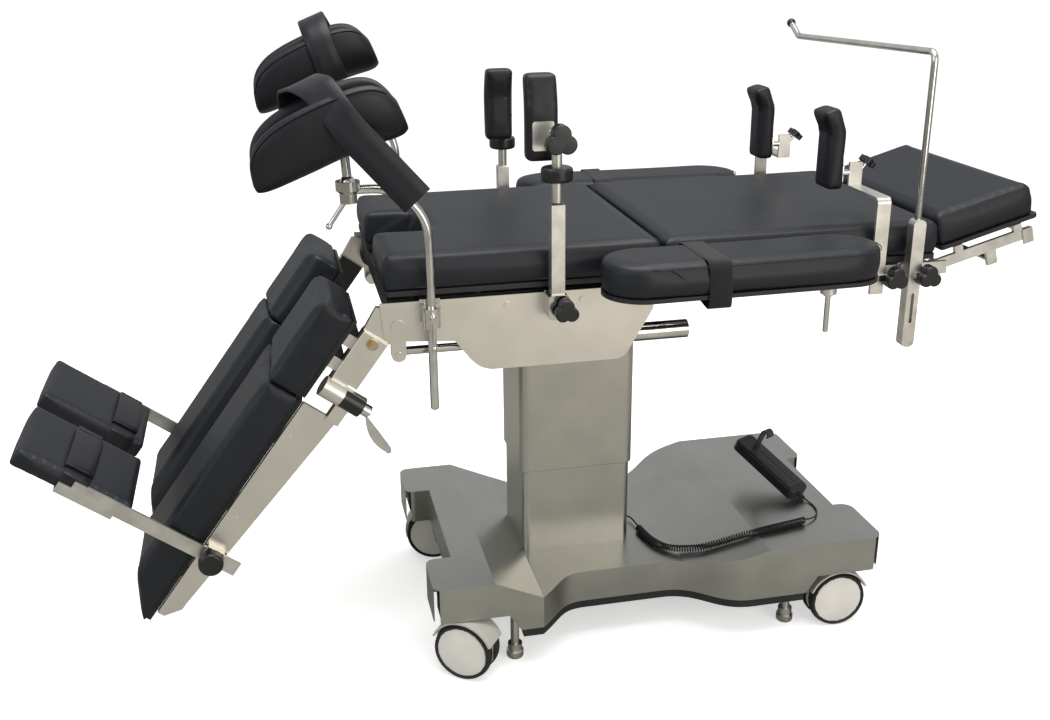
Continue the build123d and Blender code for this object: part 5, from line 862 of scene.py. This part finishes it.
for side, sign in SIDES.items():
    body = f"{side} foot plate"
    along, low, share = FOOT_PLACES[side]
    node = f"{side}_foot_plate"
    block = foam_pad(f"{side}_foot_cushion", node, body, UNGLUED, OUT_OF_LEG, voxel_mm=4)
    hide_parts(node)
    rigid_rest(f"{side}_foot_arm", node, body, SATIN_CHROME, "stainless", beyond(FOOT_ARM_OUT))
    out = low + FOOT_HEIGHT * share
    loop = [on_leg(along + e, sign * y, out) for e, y in FOOT_STRAP]
    strap = band(f"{side}_foot_strap", loop, OUT_OF_LEG, *FOOT_STRAP_SIZE, SOFT_COVER, closed=True)
    line = [on_leg(along - FACE - lift, sign * y, out + 1) for y, lift in SLEEVE]
    name = f"{side}_foot_sleeve"
    sleeve = band(name, line, OUT_OF_LEG, *SLEEVE_SIZE, SOFT_COVER, edge_mm=SLEEVE_EDGE)
    line = [on_leg(along - FACE - HEM_LIFT, sign * y, out + 1 + w) for y, w in HEM]
    hem = welt(f"{name}_hem", line, FINE_SEAM, SOFT_COVER)
    for piece in (strap, sleeve, hem):
        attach(piece, body)
        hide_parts(node)
print("foot plates made")

# %% [markdown]
# ## Knee crutch cradles
# A cradle is a padded trough: a shell whose section is a U, whose rim rises in a long arch from a low
# pointed end to a round one, and whose wall thins towards its ends. It is lofted from sections along
# its tilted axis. A piped strap crosses its top and ends in a loose flap.

# %% Cradle shapes
CRADLE_TILT = math.radians(23)
CRADLE_ALONG = Vector((math.cos(CRADLE_TILT), 0, math.sin(CRADLE_TILT)))
CRADLE_UP = Vector((-math.sin(CRADLE_TILT), 0, math.cos(CRADLE_TILT)))
ACROSS = Vector((0, 1, 0))
WALL = 27
MOST_WALL = 0.42  # of the height, where the trough is low
RIM_RISE, FLOOR_DIP = 0.42, 0.1  # of the wall
HALF_TURN_STEPS = 18
SEAM_INSET = SEAM_LIFT = 2.0
CRADLE_SECTIONS = (
    (-158, -26, 42, 46),
    (-148, 2, 47, 58),
    (-128, 26, 50, 67),
    (-98, 41, 51, 73),
    (-60, 48, 52, 76),
    (-20, 50, 52, 77),
    (20, 49, 53, 77),
    (60, 45, 56, 76),
    (88, 36, 60, 72),
    (106, 20, 60, 65),
    (117, -4, 54, 54),
)


def trough_ring(rim, depth, width):
    """The U section of the trough, as places across and up in mm: outside, rim, inside, rim.

    The powers below 1 make the U squarer than a half ellipse.
    """
    height = rim + depth
    wall = min(WALL, height * MOST_WALL)
    ring = []
    for step in range(HALF_TURN_STEPS + 1):
        angle = math.pi * step / HALF_TURN_STEPS
        c, s = math.cos(angle), math.sin(angle)
        ring.append((width * math.copysign(abs(c) ** 0.75, c), rim - height * s**0.8))
    ring.append((-(width - wall / 2), rim + wall * RIM_RISE))
    for step in range(HALF_TURN_STEPS + 1):
        angle = math.pi * (1 - step / HALF_TURN_STEPS)
        c, s = math.cos(angle), math.sin(angle)
        across = (width - wall) * math.copysign(abs(c) ** 0.8, c)
        ring.append((across, rim + (wall * FLOOR_DIP) * (1 - s) - (height - wall) * s**0.9))
    ring.append((width - wall / 2, rim + wall * RIM_RISE))
    return ring


def end_faces(count, rings):
    """The faces that close the U at both ends of the trough."""
    turns = HALF_TURN_STEPS
    faces = []
    for ring, flip in ((0, 1), (rings - 1, -1)):
        first = ring * count
        for k in range(turns):
            quad = (first + k, first + k + 1, first + count - 3 - k, first + count - 2 - k)
            faces.append(quad[::-flip])
        faces.append((first + turns, first + turns + 1, first + turns + 2)[::-flip])
        faces.append((first + count - 2, first + count - 1, first)[::-flip])
    return faces


def cradle_shell(name, centre):
    """A padded trough, from sections of place along the axis, rim height, depth and half width."""
    table = smooth_line([Vector(row[:3]) for row in CRADLE_SECTIONS], 3)
    widths = smooth_line([Vector((row[3], 0, 0)) for row in CRADLE_SECTIONS], 3)
    points = []
    for (place, rim, depth), width in zip(table, widths):
        middle = centre + CRADLE_ALONG * place * MM
        ring = trough_ring(rim, depth, width.x)
        points += [middle + ACROSS * u * MM + CRADLE_UP * v * MM for u, v in ring]
    count, rings = len(ring), len(table)
    faces = ring_faces(count, rings) + end_faces(count, rings)
    shell = mesh_object(name, points, faces, SOFT_COVER)
    fix = bmesh.new()
    fix.from_mesh(shell.data)
    bmesh.ops.recalc_face_normals(fix, faces=fix.faces)
    fix.to_mesh(shell.data)
    fix.free()
    subdivided(shell, 2)
    return shell


def cradle_seam(name, centre, row):
    """The welt along a wall's outer rim; row is -1 for the near wall and 1 for the far one."""
    points = []
    for place, rim, _, width in CRADLE_SECTIONS[1:-1]:
        aside = Vector((0, row * (width - SEAM_INSET) * MM, 0))
        up = CRADLE_UP * (rim + SEAM_LIFT) * MM
        points.append(centre + CRADLE_ALONG * place * MM + aside + up)
    return welt(name, smooth_line(points, 6), CRADLE_WELT, SOFT_COVER, closed=False)


def turned_part(name, body, pieces, material):
    """Round pieces as one object: each a start, an end and a radius in mm, or a ball if they meet."""
    together = bmesh.new()
    for start, end, radius in pieces:
        run = end - start
        if run.length < 1e-6:
            placed = Matrix.Translation(start)
            bmesh.ops.create_uvsphere(
                together, u_segments=32, v_segments=16, radius=radius * MM, matrix=placed
            )
            continue
        turned = run.to_track_quat("Z", "Y").to_matrix().to_4x4()
        placed = Matrix.Translation((start + end) / 2) @ turned
        bmesh.ops.create_cone(
            together, cap_ends=True, segments=32,
            radius1=radius * MM, radius2=radius * MM, depth=run.length, matrix=placed,
        )
    piece = from_bmesh(name, together, material)
    edged(piece, 35)
    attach(piece, body)
    return piece


# %% Cradles
BALL_RADIUS, STEM_RADIUS, STEM_END = 13, 8, 47
BALL_PLACES = {"near": (-446, -300, 1042), "far": (-432, 300, 1087)}
CRADLE_PLACES = {"near": (-467, -300, 1135), "far": (-453, 300, 1180)}
STRAP_PATHS = {
    "near": (
        (-522, -222, 1118), (-522, -221, 1160), (-524, -236, 1192), (-512, -270, 1206),
        (-500, -310, 1209), (-484, -348, 1202), (-466, -374, 1176), (-440, -387, 1140),
        (-412, -392, 1108), (-384, -396, 1076), (-356, -402, 1044), (-340, -405, 1026),
    ),
    "far": (
        (-430, 378, 1170), (-436, 380, 1210), (-446, 366, 1242), (-458, 335, 1264),
        (-463, 300, 1272), (-462, 262, 1266), (-456, 232, 1244), (-446, 221, 1212),
        (-434, 222, 1178), (-424, 232, 1148),
    ),
}
STRAP_WIDTHS = {
    "near": (
        (1, 0, 0.3), (1, 0, 0.35), (1, 0, 0.4), (1, 0, 0.45),
        (1, -0.1, 0.5), (0.95, -0.1, 0.6), (0.8, -0.1, 0.7), (0.72, 0, 0.74),
        *((0.7, 0, 0.76),) * 4,
    ),
    "far": ((1, 0, 0.4),) * 10,
}
for side in SIDES:
    body = f"{side} crutch cradle"
    node = f"{side}_crutch_cradle"
    centre = at(*CRADLE_PLACES[side])
    shell = cradle_shell(f"{side}_cradle_shell", centre)
    route = [at(*place) for place in STRAP_PATHS[side]]
    widths = [Vector(width) for width in STRAP_WIDTHS[side]]
    name = f"{side}_cradle_strap"
    strap = band(name, route, widths, *CRADLE_STRAP_SIZE, SOFT_COVER, edge_mm=CRADLE_STRAP_EDGE)
    seams = [cradle_seam(f"{side}_cradle_seam_{k}", centre, row) for k, row in enumerate((-1, 1))]
    for piece in (shell, strap, *seams):
        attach(piece, body)
        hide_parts(node)
    ball = at(*BALL_PLACES[side])
    under = centre - CRADLE_UP * STEM_END * MM
    rounds = ((ball, ball, BALL_RADIUS), (ball, under, STEM_RADIUS))
    pivot = turned_part(f"{side}_cradle_ball", body, rounds, CHROME)
    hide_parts(node)
print("cradles made")

# %% [markdown]
# ## Side and shoulder supports
# Small bent foam pads on steel plates, and the knobs that lock the shoulder pads on their bars.

# %% Supports
PLATE_KNOB_OUT = 0.3142
for side in SIDES:
    for part, body, metal, tests in (
        ("lateral", f"{side} lateral pad", SATIN_CHROME, ((KNOB, beyond(PLATE_KNOB_OUT)),)),
        ("shoulder", f"{side} shoulder support", CHROME, ()),
    ):
        node = f"{side}_{part}_pad"
        foam = foam_pad(
            f"{side}_{part}_cushion", node, body, at(0, 0, 0), UP, 4, SOFT_COVER, soften=16
        )
        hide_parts(node)
        rigid_rest(f"{side}_{part}_mount", node, body, metal, "chromed steel", lambda c: True, *tests)
print("supports made")

# %% Shoulder pad knobs
SHOULDER_X, SHOULDER_Y, KNOB_FOOT_Z = 584, 170, 990
KNOB_UNDER, KNOB_OVER, SCREW_RADIUS = 12, 23, 3.5
LOBES, LOBE_OUT, LOBE_RADIUS, CORE_RADIUS, LOBE_TURN = 3, 10, 9, 12, 0.5
KNOB_AIM = Vector((0.62, 0, 0.78)).normalized()
for side, sign in SIDES.items():
    body = f"{side} shoulder support"
    foot = at(SHOULDER_X, sign * SHOULDER_Y, KNOB_FOOT_Z)
    under, over = foot + KNOB_AIM * KNOB_UNDER * MM, foot + KNOB_AIM * KNOB_OVER * MM
    rounds = [(under, over, CORE_RADIUS)]
    for lobe in range(LOBES):
        angle = math.tau * lobe / LOBES + LOBE_TURN
        out = Vector((0, math.cos(angle), 0)) + KNOB_AIM.cross(ACROSS) * math.sin(angle)
        rounds.append((under + out * LOBE_OUT * MM, over + out * LOBE_OUT * MM, LOBE_RADIUS))
    turned_part(f"{side}_shoulder_pad_knob", body, rounds, KNOB)
    screw = ((foot, under, SCREW_RADIUS),)
    turned_part(f"{side}_shoulder_pad_screw", body, screw, CHROME)
print("shoulder pad knobs made")

# %% [markdown]
# ## The curly cord
# The lead leaves the control's gland, drops to the deck and meets the curls; these run over the lobe and
# down the slope of the base to the column, where a short tail goes into its gland. The line is one
# smooth spline: listed points for the lead and tail, and a helix round the middle line for the curls.

# %% Cord
CORD_DIAMETER = 3.6
CURL_RADIUS = 6.0
FULLER = 1.03  # the spline runs a little inside its points
CURL_COUNT = 76
POINTS_PER_CURL = 12
HANDSET_SLOPE = math.radians(23.6)
HANDSET_TURN = math.radians(118.7)
HANDSET_LOW = (550, -80, 213.3)
HANDSET_HALF_THICK, GLAND_LENGTH = 13, 14
LEAD = (
    (561, -100, 215.3), (565, -119, 215.3), (562, -149, 215.4), (545, -178, 217),
    (517.5, -192.3, 221.3),
)
CURLS = (
    (509, -194, 221.6), (467, -203, 221.6), (422, -211, 221.8), (378, -217, 219),
    (341, -212, 209.2), (305, -208, 199.2), (266, -202, 188.6), (236, -184, 180.6),
    (206, -167, 176.8), (188, -140, 176.4), (176, -100, 176.4), (172, -61, 176.4),
)
TAIL = ((172, -51, 176.3), (172, -26, 176.2), (165, 4, 176), (142, 4, 176))


def nurbs(name, places):
    """A smooth open NURBS curve of order 3 with these control points."""
    curve = curve_through(name, places, "NURBS")
    spline = curve.splines[0]
    spline.order_u = 3
    spline.use_endpoint_u = True
    spline.resolution_u = 12
    return curve


def read_line(curve):
    """The points of a curve with no bevel, in order."""
    holder = linked("reading", curve)
    mesh = bpy.data.meshes.new_from_object(holder)
    points = [vertex.co.copy() for vertex in mesh.vertices]
    bpy.data.objects.remove(holder)
    bpy.data.meshes.remove(mesh)
    return points


def along_line(points, share):
    """The place and heading at a share of a line's length."""
    lengths = [0.0]
    for before, after in zip(points, points[1:]):
        lengths.append(lengths[-1] + (after - before).length)
    target = share * lengths[-1]
    index = max(1, next((i for i, total in enumerate(lengths) if total >= target), len(points) - 1))
    span = lengths[index] - lengths[index - 1]
    part = (target - lengths[index - 1]) / span if span else 0
    heading = (points[min(index + 1, len(points) - 1)] - points[max(index - 2, 0)]).normalized()
    return points[index - 1].lerp(points[index], part), heading


middle_line = read_line(nurbs("curl middle", [at(*place) for place in CURLS]))
helix = []
for step in range(CURL_COUNT * POINTS_PER_CURL + 1):
    share = step / (CURL_COUNT * POINTS_PER_CURL)
    place, heading = along_line(middle_line, share)
    angle = math.tau * step / POINTS_PER_CURL
    sideways = heading.cross(UP).normalized()
    out = sideways * math.cos(angle) + sideways.cross(heading) * math.sin(angle)
    helix.append(place + out * CURL_RADIUS * FULLER * MM)

# %% Cord curve
control_up = Vector((
    math.cos(HANDSET_SLOPE) * math.cos(HANDSET_TURN),
    math.cos(HANDSET_SLOPE) * math.sin(HANDSET_TURN),
    math.sin(HANDSET_SLOPE),
))
x, y, z = HANDSET_LOW
control_low = at(x, y, z + HANDSET_HALF_THICK * math.cos(HANDSET_SLOPE))
lead_start = control_low - control_up * GLAND_LENGTH * MM
cord_places = [lead_start, *[at(*p) for p in LEAD], *helix, *[at(*p) for p in TAIL]]
cord_curve = nurbs("handset_cord_line", cord_places)
cord_curve.splines[0].resolution_u = 3
cord_curve.bevel_depth = CORD_DIAMETER / 2 * MM
cord_curve.bevel_resolution = 3
cord_curve.materials.append(RUBBER)
cord = linked("curly_cord", cord_curve)
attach(cord, "base")
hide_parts("handset_cord")
print("cord points", len(cord_curve.splines[0].points))
